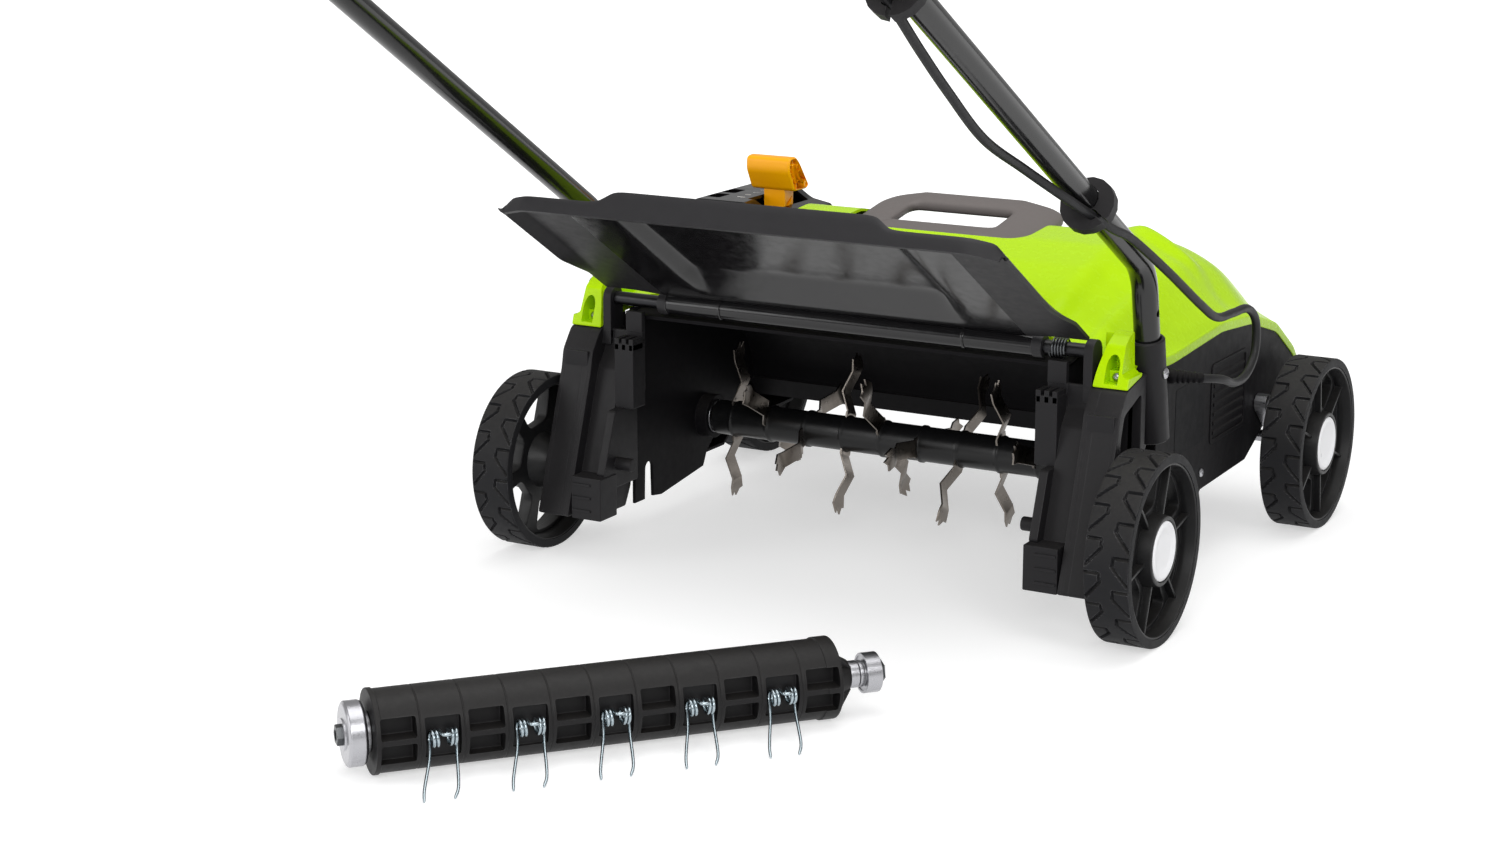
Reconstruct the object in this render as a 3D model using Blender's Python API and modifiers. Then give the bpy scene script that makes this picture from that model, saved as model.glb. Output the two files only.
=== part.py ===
"""Electric lawn scarifier with a 36 cm working width, and the tine roller that changes places with its blade rotor.

Metres, +Z up. The machine is drawn with +Y forward, +X to the right of a person behind it, and its
working origin on the ground under the rear wheel axle. The empty named origin moves the whole machine so
that the middle of its bounding box stands over the world origin.
"""

import math

import bmesh
import bpy
from mathutils import Matrix, Vector

# Clearances
GAP = 0.0003
RUNNING = 0.0003
SEAT = 0.0004

# Wheels and axles
WHEEL_RADIUS = 0.080
WHEEL_WIDTH = 0.0386
WHEEL_FACE_X = 0.3143
TREAD_DEPTH = 0.0030
TREAD_BLOCKS = 18
SPOKES = 6
AXLE_RADIUS = 0.0057
WHEELBASE = 0.410
HUB_RADIUS = 0.0290
HUB_CAP_RADIUS = 0.0250
HUB_CAP_THICKNESS = 0.0049

# Rear legs with the handle sockets
LEG_INNER_X = 0.2376
LEG_OUTER_X = 0.2696
LEG_FRONT_Y = 0.060
LEG_TOP_Z = 0.2035
POST_INNER_X = 0.2136
COLLECTOR_X = (0.1970, 0.2140)
COLLECTOR_Y = 0.0215
COLLECTOR_Z = (0.2030, 0.2220)
SOCKET_TOP = Vector((0.26525, 0.0680, 0.2390))
SOCKET_LEAN = math.radians(11.5)
SOCKET_LENGTH = 0.091
SOCKET_WALL = 0.0036

# Tunnel
TUNNEL_HALF_WIDTH = 0.2095
WALL = 0.0030
SIDE_WALL = 0.0035
ROTOR_Y = 0.155
ROTOR_Z = 0.099
PAN_FRONT_Y = 0.4740
PAN_FLOOR_Z = 0.0990

# Side housings and top cover
HOUSING_OUTER_X = 0.2620
HOUSING_REAR_Y = 0.1040
COVER_REAR_Y = 0.0450

# Handle
TUBE_RADIUS = 0.0110
TUBE_WALL = 0.0012
TUBE_SLOPE = math.radians(31.5)
TUBE_SIDES = 10
TUBE_BEVEL = 3
FOLD_Y = -0.4550
FOLD_OVERHANG = 0.0180
TUBE_BEND_RADIUS = 0.0500
UPPER_STRAIGHT = 0.4000
UPPER_RISE = 0.2000
UPPER_RISE_SLOPE = math.radians(48.0)
GRIP_CORNER = 0.0550
BOLT_RADIUS = 0.0030

# Rotor
ROTOR_RADIUS = 0.0160
BLADE_EYE = 0.0205
BLADES = 10
BLADE_FIRST_X = -(TUNNEL_HALF_WIDTH - 0.0345)
BLADE_LAST_X = TUNNEL_HALF_WIDTH - 0.0335
BLADE_REACH = 0.0750
BLADE_WIDTH = 0.0160
BLADE_THICKNESS = 0.0018
BLADE_STAGGER = math.radians(54.0)

# Drive
MOTOR_Y = 0.345
MOTOR_Z = 0.170
MOTOR_RADIUS = 0.038
MOTOR_LENGTH = 0.120
MOTOR_INNER_X = TUNNEL_HALF_WIDTH - 0.1395
DRIVEN_RADIUS = 0.0260
PINION_RADIUS = 0.0130
BELT_THICKNESS = 0.0030
BELT_WIDTH = 0.0120
BELT_X = TUNNEL_HALF_WIDTH + 0.0145

# Flap
HINGE_Y = 0.0310
HINGE_Z = 0.2310
HINGE_PIN_RADIUS = 0.0060
BARREL_RADIUS = 0.0090
BARREL_LEFT_X = -0.1810
BARREL_RIGHT_X = 0.1900
FLAP_ANGLE = math.radians(32.0)
FLAP_LENGTH = 0.2140
FLAP_HALF_WIDTH = 0.2335
FLAP_THICKNESS = 0.0030
FLAP_OFFSET = 0.0070
FLAP_RAISED = 0.0110
FLAP_LIP = 0.0140

# Tine roller lying beside the machine
ROLLER_START = Vector((-0.0718, -0.5528, 0.0))
ROLLER_TURN = math.radians(49.47)
DRUM_LENGTH = 0.3530
DRUM_RADIUS = 0.0305
FLANGE_RADIUS = 0.0315
POCKETS = 11
TINE_WIRE = 0.0012
TINE_COIL = 0.0055

BODY_BLACK = (0.030, 0.030, 0.031)
LEG_GREY = (0.045, 0.046, 0.045)
LIME = (0.330, 0.680, 0.005)
STEEL = (0.62, 0.60, 0.58)


def clear_scene():
    for obj in list(bpy.data.objects):
        bpy.data.objects.remove(obj, do_unlink=True)


def collection(name):
    made = bpy.data.collections.new(name)
    bpy.context.scene.collection.children.link(made)
    return made


clear_scene()
PARTS = collection("lawn_scarifier")
CUTTERS = collection("cutters")
ORIGIN = bpy.data.objects.new("origin", None)
PARTS.objects.link(ORIGIN)


def material(name, rgb, roughness, metallic=0.0):
    """One Principled material, made once for each name."""
    found = bpy.data.materials.get(name)
    if found:
        return found
    made = bpy.data.materials.new(name)
    made.use_nodes = True
    shader = made.node_tree.nodes["Principled BSDF"]
    shader.inputs["Base Color"].default_value = (*rgb, 1.0)
    shader.inputs["Roughness"].default_value = roughness
    shader.inputs["Metallic"].default_value = metallic
    return made


def mesh_from(bm, name):
    """The bmesh as a mesh with its doubles merged and its faces pointing out."""
    bmesh.ops.remove_doubles(bm, verts=bm.verts, dist=1e-6)
    bmesh.ops.recalc_face_normals(bm, faces=bm.faces)
    mesh = bpy.data.meshes.new(name)
    bm.to_mesh(mesh)
    bm.free()
    return mesh


def add_part(name, mesh, finish, pivot=(0.0, 0.0, 0.0), smooth=True):
    """A named object whose origin is at pivot; the mesh comes in machine coordinates."""
    own = mesh.copy()
    own.transform(Matrix.Translation(-Vector(pivot)))
    own.name = name
    own.materials.clear()
    own.materials.append(material(*finish))
    if smooth:
        own.shade_smooth()
        own.set_sharp_from_angle(angle=math.radians(35.0))
    obj = bpy.data.objects.new(name, own)
    obj.location = pivot
    obj.parent = ORIGIN
    PARTS.objects.link(obj)
    return obj


def boolean(obj, mesh, operation, label):
    """Joins or cuts obj with a mesh given in machine coordinates, kept as a hidden cutter."""
    tool = bpy.data.objects.new(f"{obj.name}_{label}", mesh)
    tool.parent = ORIGIN
    tool.hide_render = True
    tool.display_type = "WIRE"
    CUTTERS.objects.link(tool)
    modifier = obj.modifiers.new(label, "BOOLEAN")
    modifier.operation = operation
    modifier.solver = "EXACT"
    modifier.object = tool
    return modifier


def evaluated_mesh(obj):
    """The object's mesh with its modifiers applied, in its own coordinates."""
    bpy.context.view_layer.update()
    graph = bpy.context.evaluated_depsgraph_get()
    return bpy.data.meshes.new_from_object(obj.evaluated_get(graph))


def combined(name, base, joins=(), cuts=()):
    """One mesh from a base mesh with other meshes joined to it and cut from it."""
    obj = bpy.data.objects.new(name, base)
    PARTS.objects.link(obj)
    tools = []
    for operation, meshes in (("UNION", joins), ("DIFFERENCE", cuts)):
        for mesh in meshes:
            tool = bpy.data.objects.new(f"{name}_tool", mesh)
            CUTTERS.objects.link(tool)
            tools.append(tool)
            modifier = obj.modifiers.new(operation, "BOOLEAN")
            modifier.operation = operation
            modifier.solver = "EXACT"
            modifier.object = tool
    made = evaluated_mesh(obj)
    for tool in [obj, *tools]:
        bpy.data.objects.remove(tool, do_unlink=True)
    return made


def mirrored(mesh):
    """The mesh on the other side of the machine."""
    bm = bmesh.new()
    bm.from_mesh(mesh)
    bmesh.ops.scale(bm, vec=(-1.0, 1.0, 1.0), verts=bm.verts)
    bmesh.ops.reverse_faces(bm, faces=bm.faces)
    made = bpy.data.meshes.new(mesh.name)
    bm.to_mesh(made)
    bm.free()
    return made


def moved(mesh, matrix):
    own = mesh.copy()
    own.transform(matrix)
    return own


def block(x, y, z):
    """A box between two values on each axis."""
    bm = bmesh.new()
    bmesh.ops.create_cube(bm, size=1.0)
    size = (x[1] - x[0], y[1] - y[0], z[1] - z[0])
    bmesh.ops.scale(bm, vec=size, verts=bm.verts)
    middle = ((x[0] + x[1]) / 2, (y[0] + y[1]) / 2, (z[0] + z[1]) / 2)
    bmesh.ops.translate(bm, vec=middle, verts=bm.verts)
    return mesh_from(bm, "block")


def blocks(boxes):
    """Several separate boxes in one mesh, for a pattern of cuts or teeth."""
    bm = bmesh.new()
    for x, y, z in boxes:
        bm.from_mesh(block(x, y, z))
    return mesh_from(bm, "blocks")


def rod(start, end, radius, end_radius=None, sides=16):
    """A cylinder or cone between two points."""
    start, end = Vector(start), Vector(end)
    turn = (end - start).to_track_quat("Z", "Y").to_matrix().to_4x4()
    bm = bmesh.new()
    bmesh.ops.create_cone(
        bm,
        cap_ends=True,
        segments=sides,
        radius1=radius,
        radius2=radius if end_radius is None else end_radius,
        depth=(end - start).length,
    )
    bmesh.ops.transform(bm, matrix=Matrix.Translation((start + end) / 2) @ turn, verts=bm.verts)
    return mesh_from(bm, "rod")


def plate(loops, low, high, axis="X"):
    """Flat outlines filled and given a thickness along an axis; loops inside the first are holes.

    Points are (y, z) for axis X, (x, z) for axis Y and (x, y) for axis Z.
    """
    curve = bpy.data.curves.new("plate", "CURVE")
    curve.dimensions = "2D"
    curve.fill_mode = "BOTH"
    curve.extrude = (high - low) / 2
    for loop in loops:
        spline = curve.splines.new("POLY")
        spline.points.add(len(loop) - 1)
        for point, (u, v) in zip(spline.points, loop):
            point.co = (u, v, 0.0, 1.0)
        spline.use_cyclic_u = True
    obj = bpy.data.objects.new("plate", curve)
    PARTS.objects.link(obj)
    mesh = evaluated_mesh(obj)
    bpy.data.objects.remove(obj, do_unlink=True)
    middle = (low + high) / 2
    columns = {
        "X": Matrix(((0, 0, 1, middle), (1, 0, 0, 0), (0, 1, 0, 0), (0, 0, 0, 1))),
        "Y": Matrix(((1, 0, 0, 0), (0, 0, 1, middle), (0, 1, 0, 0), (0, 0, 0, 1))),
        "Z": Matrix.Translation((0, 0, middle)),
    }
    mesh.transform(columns[axis])
    bm = bmesh.new()
    bm.from_mesh(mesh)
    return mesh_from(bm, "plate")


def circle(centre, radius, count, start=0.0):
    turns = [start + 2 * math.pi * i / count for i in range(count)]
    return [(centre[0] + radius * math.cos(t), centre[1] + radius * math.sin(t)) for t in turns]


def clear_bore(radius, sides, clearance=RUNNING):
    """The radius of a many-sided hole whose flats clear a round piece of this radius."""
    return (radius + clearance) / math.cos(math.pi / sides)


def arc(centre, radius, first, last, count):
    """Points of an arc between two angles in degrees."""
    turns = [math.radians(first + (last - first) * i / count) for i in range(count + 1)]
    return [(centre[0] + radius * math.cos(t), centre[1] + radius * math.sin(t)) for t in turns]


def offset_line(points, distance, closed=False):
    """A line of points moved sideways by distance, to the left of its direction, with mitred corners."""
    count = len(points)
    made = []
    for i, point in enumerate(points):
        before = points[i - 1] if (closed or i > 0) else point
        after = points[(i + 1) % count] if (closed or i < count - 1) else point
        p = Vector(point)
        a = (p - Vector(before)).normalized() if before != point else None
        b = (Vector(after) - p).normalized() if after != point else None
        a = a or b
        b = b or a
        normal = Vector((-(a.y + b.y), a.x + b.x)).normalized()
        made.append(tuple(p + normal * distance / max(0.3, normal.dot(Vector((-a.y, a.x))))))
    return made


def rounded_path(points, radii, steps):
    """A path through corner points, each corner turned with its own radius in steps of at most this angle."""
    points = [Vector(p) for p in points]
    path = [points[0]]
    for before, corner, after, radius in zip(points, points[1:], points[2:], radii):
        a = (before - corner).normalized()
        b = (after - corner).normalized()
        half = a.angle(b) / 2
        start = corner + a * radius / math.tan(half)
        centre = corner + (a + b).normalized() * radius / math.sin(half)
        first = start - centre
        last = corner + b * radius / math.tan(half) - centre
        axis = first.cross(last).normalized()
        turn = first.angle(last)
        count = math.ceil(turn / math.radians(steps))
        for i in range(count + 1):
            path.append(centre + Matrix.Rotation(turn * i / count, 3, axis) @ first)
    path.append(points[-1])
    return path


def tube(points, radius, resolution=2, wall=None):
    """A round bar or pipe along points: solid with end caps, or hollow with a wall."""
    curve = bpy.data.curves.new("tube", "CURVE")
    curve.dimensions = "3D"
    curve.bevel_depth = radius
    curve.bevel_resolution = resolution
    curve.use_fill_caps = wall is None
    spline = curve.splines.new("POLY")
    spline.points.add(len(points) - 1)
    for point, place in zip(spline.points, points):
        point.co = (*place, 1.0)
    obj = bpy.data.objects.new("tube", curve)
    PARTS.objects.link(obj)
    mesh = evaluated_mesh(obj)
    bpy.data.objects.remove(obj, do_unlink=True)
    bm = bmesh.new()
    bm.from_mesh(mesh)
    made = mesh_from(bm, "tube")
    if wall is None:
        return made
    shell = bpy.data.objects.new("shell", made)
    PARTS.objects.link(shell)
    solidify = shell.modifiers.new("wall", "SOLIDIFY")
    solidify.thickness = wall
    solidify.offset = -1.0
    solidify.use_even_offset = True
    made = evaluated_mesh(shell)
    bpy.data.objects.remove(shell, do_unlink=True)
    return made


def turned(profile, sides=24, closed=False, turn=0.0):
    """A profile of (along, radius) points turned about the X axis. A closed profile leaves a bore."""
    bm = bmesh.new()
    verts = [bm.verts.new((along, 0.0, radius)) for along, radius in profile]
    pairs = list(zip(verts, verts[1:]))
    if closed:
        pairs.append((verts[-1], verts[0]))
    edges = [bm.edges.new(pair) for pair in pairs]
    bmesh.ops.spin(
        bm,
        geom=verts + edges,
        cent=(0, 0, 0),
        axis=(1, 0, 0),
        angle=2 * math.pi,
        steps=sides,
        use_merge=True,
    )
    bmesh.ops.rotate(bm, cent=(0, 0, 0), matrix=Matrix.Rotation(turn, 3, "X"), verts=bm.verts)
    return mesh_from(bm, "turned")


def at_axle(mesh, x, y, z, flip=False):
    """A mesh drawn about the X axis, moved onto an axle; flip turns it to face the other side."""
    made = mirrored(mesh) if flip else mesh
    return moved(made, Matrix.Translation((x, y, z)))


def sheet(columns, rows, place, name):
    """A grid surface of columns by rows whose points place(i, j) gives."""
    bm = bmesh.new()
    bmesh.ops.create_grid(bm, x_segments=columns - 1, y_segments=rows - 1, size=0.5)
    for vert in bm.verts:
        i = round((vert.co.x + 0.5) * (columns - 1))
        j = round((vert.co.y + 0.5) * (rows - 1))
        vert.co = place(i, j)
    mesh = bpy.data.meshes.new(name)
    bm.to_mesh(mesh)
    bm.free()
    return mesh


def thickened(mesh, thickness, side):
    """A sheet given a wall on one side: +1 along its normals, -1 against them."""
    obj = bpy.data.objects.new("thickened", mesh)
    PARTS.objects.link(obj)
    solidify = obj.modifiers.new("wall", "SOLIDIFY")
    solidify.thickness = thickness
    solidify.offset = side
    solidify.use_even_offset = True
    made = evaluated_mesh(obj)
    bpy.data.objects.remove(obj, do_unlink=True)
    bm = bmesh.new()
    bm.from_mesh(made)
    return mesh_from(bm, "thickened")


def between(value, knots):
    """Straight-line interpolation through (position, value) knots."""
    if value <= knots[0][0]:
        return knots[0][1]
    for (a, low), (b, high) in zip(knots, knots[1:]):
        if value <= b:
            return low + (high - low) * (value - a) / (b - a)
    return knots[-1][1]


# Wheels

WHEEL_INNER_X = WHEEL_FACE_X - WHEEL_WIDTH
WHEEL_MIDDLE_X = WHEEL_FACE_X - WHEEL_WIDTH / 2
HUB_RECESS = HUB_CAP_THICKNESS + SEAT


def wheel_mesh():
    """A wheel about the X axis, its outer face towards +X."""
    half = WHEEL_WIDTH / 2
    base = WHEEL_RADIUS - TREAD_DEPTH
    bore = clear_bore(AXLE_RADIUS, TREAD_BLOCKS)
    groove = 0.0016
    profile = [
        (-half, base),
        (-groove, base),
        (groove, base),
        (half, base),
        (half, base - 0.006),
        (0.008, base - 0.010),
        (0.011, HUB_RADIUS),
        (half - 0.001, HUB_RADIUS),
        (half - 0.001, HUB_CAP_RADIUS + SEAT),
        (half - HUB_RECESS, HUB_CAP_RADIUS + SEAT),
        (half - HUB_RECESS, bore),
        (-half, bore),
        (-half, bore + 0.011),
        (-0.004, base - 0.010),
        (-half + 0.004, base - 0.006),
    ]
    bm = bmesh.new()
    bm.from_mesh(turned(profile, TREAD_BLOCKS, closed=True))
    outer = [v for v in bm.verts if v.co.x > 0]
    turn = Matrix.Rotation(math.pi / TREAD_BLOCKS, 3, "X")
    bmesh.ops.rotate(bm, cent=(0, 0, 0), matrix=turn, verts=outer)
    on_tread = [f for f in bm.faces if all(v.co.yz.length > base - 1e-5 for v in f.verts)]
    shoulders = [f for f in on_tread if abs(f.calc_center_median().x) > groove]
    bmesh.ops.inset_individual(bm, faces=shoulders, thickness=0.0013, depth=TREAD_DEPTH)
    raised = {v for f in shoulders for v in f.verts}
    for vert in raised:
        vert.co.yz = vert.co.yz.normalized() * WHEEL_RADIUS
    lowest = max(abs(v.co.z) for v in raised)
    for vert in raised:
        vert.co.yz = vert.co.yz * WHEEL_RADIUS / lowest
    wheel = mesh_from(bm, "wheel")
    opening_inner = HUB_RADIUS + 0.006
    opening_outer = base - 0.013
    spread = math.pi / SPOKES - 0.20
    openings = []
    for i in range(SPOKES):
        middle = 2 * math.pi * (i + 0.5) / SPOKES
        corners = [(opening_inner, 0.0), (opening_outer - 0.007, -1.0), (opening_outer, -0.72)]
        corners += [(opening_outer, 0.72), (opening_outer - 0.007, 1.0)]
        loop = [(r * math.cos(middle + spread * t), r * math.sin(middle + spread * t)) for r, t in corners]
        openings.append(plate([loop], -half, half))
    return combined("wheel", wheel, cuts=openings)


def hub_cap_mesh():
    """A shallow dished cap with a raised rim, its back at x = 0."""
    rim = HUB_CAP_RADIUS
    t = HUB_CAP_THICKNESS
    profile = [(0.0, 0.0), (0.0, rim), (t - 0.0010, rim), (t, rim - 0.0030), (t - 0.0015, rim - 0.0100), (t - 0.0020, 0.0)]
    return turned(profile, 14)


WHEEL_FINISH = ("tread_grey", (0.055, 0.055, 0.058), 0.62)
CAP_FINISH = ("hub_cap_white", (0.80, 0.80, 0.82), 0.35)
wheel = wheel_mesh()
hub_cap = hub_cap_mesh()
for end, axle_y in (("rear", 0.0), ("front", WHEELBASE)):
    for side, sign in (("left", -1), ("right", 1)):
        centre = (sign * WHEEL_MIDDLE_X, axle_y, WHEEL_RADIUS)
        flip = sign < 0
        add_part(f"{end}_wheel_{side}", at_axle(wheel, *centre, flip), WHEEL_FINISH, centre)
        cap_x = sign * (WHEEL_FACE_X - HUB_CAP_THICKNESS)
        cap = at_axle(hub_cap, cap_x, axle_y, WHEEL_RADIUS, flip)
        add_part(f"{end}_hub_cap_{side}", cap, CAP_FINISH, centre)


# Rear legs, each one moulding with its inner rail, hinge ear and handle socket

SOCKET_UP = Vector((0.0, -math.sin(SOCKET_LEAN), math.cos(SOCKET_LEAN)))
SOCKET_RADIUS = TUBE_RADIUS + RUNNING + SOCKET_WALL
LEG_TOP_FRONT_Z = 0.2120
AXLE_BORE_INNER_X = 0.2455


def socket_point(distance):
    return SOCKET_TOP - SOCKET_UP * distance


def right_leg_mesh():
    leg = [
        (-0.042, 0.042),
        (0.000, 0.169),
        (0.003, 0.185),
        (0.017, LEG_TOP_Z),
        (LEG_FRONT_Y, LEG_TOP_FRONT_Z),
        (LEG_FRONT_Y, 0.100),
        (0.048, 0.062),
        (0.022, 0.042),
    ]
    post = [(-0.030, 0.042), (0.012, 0.169), (0.024, 0.185), (0.024, 0.2040)]
    post += [(0.0275, 0.2040), (0.0275, 0.060), (0.0180, 0.042)]
    ear = arc((HINGE_Y, HINGE_Z), 0.0105, 0, 180, 8)
    ear += [(HINGE_Y - 0.0105, 0.1950), (HINGE_Y + 0.0105, 0.1950)]
    web = [(0.050, 0.112), (0.050, 0.2085), (0.0725, 0.2130), (0.094, 0.156), (0.088, 0.150)]
    teeth = [((x, x + 0.0045), (0.003, 0.0200), (0.1900, 0.2005)) for x in (0.1950, 0.2025, 0.2098)]
    joins = [
        plate([post], POST_INNER_X, LEG_INNER_X + 0.001),
        plate([ear], 0.2290, LEG_INNER_X - 0.0003),
        block((0.2290, LEG_INNER_X + 0.001), (0.0200, 0.0440), (0.1900, 0.2030)),
        block(COLLECTOR_X, (COLLECTOR_Y, 0.0275), COLLECTOR_Z),
        block((COLLECTOR_X[0], 0.2150), (COLLECTOR_Y + 0.001, 0.0275), (0.1500, COLLECTOR_Z[0] + 0.001)),
        block((0.1950, 0.2146), (0.003, 0.0235), (0.137, 0.196)),
        blocks(teeth),
        plate([[(-0.030, 0.081), (-0.010, 0.137), (0.0275, 0.137), (0.0275, 0.066), (-0.012, 0.066)]], 0.2060, 0.2140),
        block((0.2050, 0.2360), (-0.038, -0.010), (0.041, 0.080)),
        rod((0.1900, -0.006, 0.088), (0.2150, -0.006, 0.088), 0.006, sides=10),
        rod(socket_point(SOCKET_LENGTH), socket_point(0.0), SOCKET_RADIUS, sides=16),
        plate([web, [(0.0625, 0.132), (0.0625, 0.178), (0.076, 0.160)]], 0.2575, 0.2625),
    ]
    cuts = [
        rod(socket_point(SOCKET_LENGTH - 0.012), socket_point(-0.01), clear_bore(TUBE_RADIUS, 16), sides=16),
        rod((AXLE_BORE_INNER_X, 0, WHEEL_RADIUS), (LEG_OUTER_X + 0.01, 0, WHEEL_RADIUS), clear_bore(AXLE_RADIUS, 12), sides=12),
        rod((0.22, HINGE_Y, HINGE_Z), (LEG_INNER_X + 0.01, HINGE_Y, HINGE_Z), clear_bore(HINGE_PIN_RADIUS, 12), sides=12),
        plate([[(0.006, 0.112), (0.008, 0.165), (0.014, 0.184), (0.050, 0.196), (0.050, 0.108)]], 0.2460, 0.2756),
    ]
    return combined("right_leg", plate([leg], LEG_INNER_X, LEG_OUTER_X), joins, cuts)


LEG_FINISH = ("leg_grey", LEG_GREY, 0.55)
right_leg = right_leg_mesh()
add_part("right_leg", right_leg, LEG_FINISH)
add_part("left_leg", mirrored(right_leg), LEG_FINISH)

STUB_FINISH = ("axle_steel", STEEL, 0.30, 1.0)
stub_end_x = WHEEL_FACE_X - HUB_RECESS - 0.0006
for side, sign in (("left", -1), ("right", 1)):
    ends = [(sign * x, 0.0, WHEEL_RADIUS) for x in (AXLE_BORE_INNER_X + SEAT, stub_end_x)]
    add_part(f"{side}_rear_stub_axle", rod(*ends, AXLE_RADIUS, sides=12), STUB_FINISH)


# Tunnel housing: curved roof, side walls, rotor bearing seat, and the pan under the motor

ROOF = [
    (0.0295, 0.2150),
    (0.0400, 0.2165),
    (0.0600, 0.2195),
    (0.1000, 0.2180),
    (0.1500, 0.2080),
    (0.1950, 0.1900),
    (0.2280, 0.1650),
    (0.2430, 0.1400),
    (0.2455, 0.1160),
]
DECK_OUTER_X = TUNNEL_HALF_WIDTH + SIDE_WALL
BEARING_RADIUS = 0.0155
BEARING_WIDTH = 0.0120
BEARING_OUTER_X = -(TUNNEL_HALF_WIDTH - 0.0005)
SPIGOT_RADIUS = 0.0090


def deck_mesh():
    roof_top = offset_line(ROOF, WALL)
    roof = plate([ROOF + roof_top[::-1]], -DECK_OUTER_X, DECK_OUTER_X)
    wall = [(0.0280 + GAP, 0.0420), (0.0450, 0.0420), (0.0460, 0.0700)]
    wall += arc((0.0525, 0.0700), 0.0065, 165, 15, 4)
    wall += [(0.0600, 0.0420), (0.0740, 0.0400), (0.1500, 0.0500), (0.1570, 0.0640), (0.1800, 0.0830)]
    wall += [(0.2455, 0.1160), *roof_top[::-1]]
    left = plate([wall], -DECK_OUTER_X, -TUNNEL_HALF_WIDTH)
    right = plate([wall], TUNNEL_HALF_WIDTH, DECK_OUTER_X)
    pan_line = [(0.2440, 0.1180), (0.2560, PAN_FLOOR_Z), (0.4400, PAN_FLOOR_Z), (0.4640, 0.1120), (PAN_FRONT_Y, 0.1250)]
    pan = plate([pan_line + offset_line(pan_line, WALL)[::-1]], -DECK_OUTER_X, DECK_OUTER_X)
    cradle = [(MOTOR_Y - 0.030, PAN_FLOOR_Z), (MOTOR_Y + 0.030, PAN_FLOOR_Z)]
    cradle += arc((MOTOR_Y, MOTOR_Z), MOTOR_RADIUS + GAP, -40, -140, 8)
    cradles = [plate([cradle], x, x + 0.006) for x in (MOTOR_INNER_X + 0.015, MOTOR_INNER_X + MOTOR_LENGTH - 0.020)]
    seat_end = -(TUNNEL_HALF_WIDTH - 0.0135)
    seat = rod((-DECK_OUTER_X + 0.001, ROTOR_Y, ROTOR_Z), (seat_end, ROTOR_Y, ROTOR_Z), BEARING_RADIUS + 0.005)
    bore_ends = [(x, ROTOR_Y, ROTOR_Z) for x in (BEARING_OUTER_X - GAP, seat_end + 0.006)]
    seat_bore = rod(*bore_ends, clear_bore(BEARING_RADIUS, 16))
    hole_ends = [(x, ROTOR_Y, ROTOR_Z) for x in (TUNNEL_HALF_WIDTH - 0.01, DECK_OUTER_X + 0.007)]
    drive_hole = rod(*hole_ends, SPIGOT_RADIUS + 0.003)
    return combined("deck_housing", roof, [left, right, pan, *cradles, seat], [seat_bore, drive_hole])


BLACK = ("body_black", BODY_BLACK, 0.48)
add_part("deck_housing", deck_mesh(), BLACK)


# Side housings, left and right, and the top cover that closes them

LIP = [
    (0.0450, 0.2175),
    (0.0750, 0.2160),
    (0.1040, 0.2135),
    (0.1370, 0.2125),
    (0.2540, 0.2185),
    (0.3300, 0.2120),
    (0.4000, 0.1920),
    (0.4550, 0.1580),
    (0.4740, 0.1300),
]
CREST = [
    (0.0450, 0.2385),
    (0.1000, 0.2620),
    (0.1500, 0.2770),
    (0.2000, 0.2880),
    (0.2500, 0.2920),
    (0.2800, 0.2860),
    (0.3005, 0.2640),
    (0.3500, 0.2450),
    (0.4000, 0.2240),
    (0.4500, 0.1880),
    (0.4740, 0.1480),
]
SHOULDER = [(0.0, 0.0), (0.175, 0.0), (0.222, 0.34), (0.246, 0.76), (HOUSING_OUTER_X, 1.0)]
COVER_WALL = 0.0025
CRANK_PIVOT = (0.3550, 0.1250)
CRANK_PIN_RADIUS = 0.0050


EDGE = [(y, between(y, LIP)) for y, _ in CREST]


def cover_drop(y):
    """How far below the cover's side edge its under side and the seat gap reach."""
    steepest = 0.0
    for near in (y - 0.001, y + 0.001):
        along = (between(near + 0.001, EDGE) - between(near - 0.001, EDGE)) / 0.002
        across = (between(near, CREST) - between(near, EDGE)) * (1 - SHOULDER[-2][1]) / (HOUSING_OUTER_X - SHOULDER[-2][0])
        steepest = max(steepest, math.hypot(along, across))
    return COVER_WALL * math.sqrt(1 + steepest**2) + SEAT


def side_housing_mesh():
    """The right-hand housing; its open side faces the tunnel wall."""
    top = [(y, z - cover_drop(y)) for y, z in EDGE if y > HOUSING_REAR_Y]
    first = (HOUSING_REAR_Y, between(HOUSING_REAR_Y, EDGE) - cover_drop(HOUSING_REAR_Y))
    under = [(0.4600, PAN_FLOOR_Z), (0.3800, PAN_FLOOR_Z), (0.3300, 0.0760), (0.2170, 0.0740), (0.1950, 0.0600), (0.1200, 0.0600)]
    outline = [(HOUSING_REAR_Y, 0.0850), first, *top, *under]
    inner = offset_line(outline, -WALL, closed=True)
    outer = plate([outline], DECK_OUTER_X + SEAT, HOUSING_OUTER_X)
    hollow = plate([inner], DECK_OUTER_X - 0.001, HOUSING_OUTER_X - WALL)
    pivot = [(x, *CRANK_PIVOT) for x in (HOUSING_OUTER_X - 0.010, HOUSING_OUTER_X + 0.005)]
    return combined("side_housing", outer, cuts=[hollow, rod(*pivot, clear_bore(CRANK_PIN_RADIUS, 12), sides=12)])


side_housing = side_housing_mesh()
add_part("right_side_housing", side_housing, BLACK)
add_part("left_side_housing", mirrored(side_housing), BLACK)

QUADRANT_X = (-0.2500, -0.1520)
QUADRANT_Y = (0.1900, 0.3000)
QUADRANT_Z = (0.2280, 0.2980)
CARRY_X = 0.0950
CARRY_Y = (0.1950, 0.3000)
CARRY_OPENING_X = 0.0520
CARRY_OPENING_Y = (0.2200, 0.2720)


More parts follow.
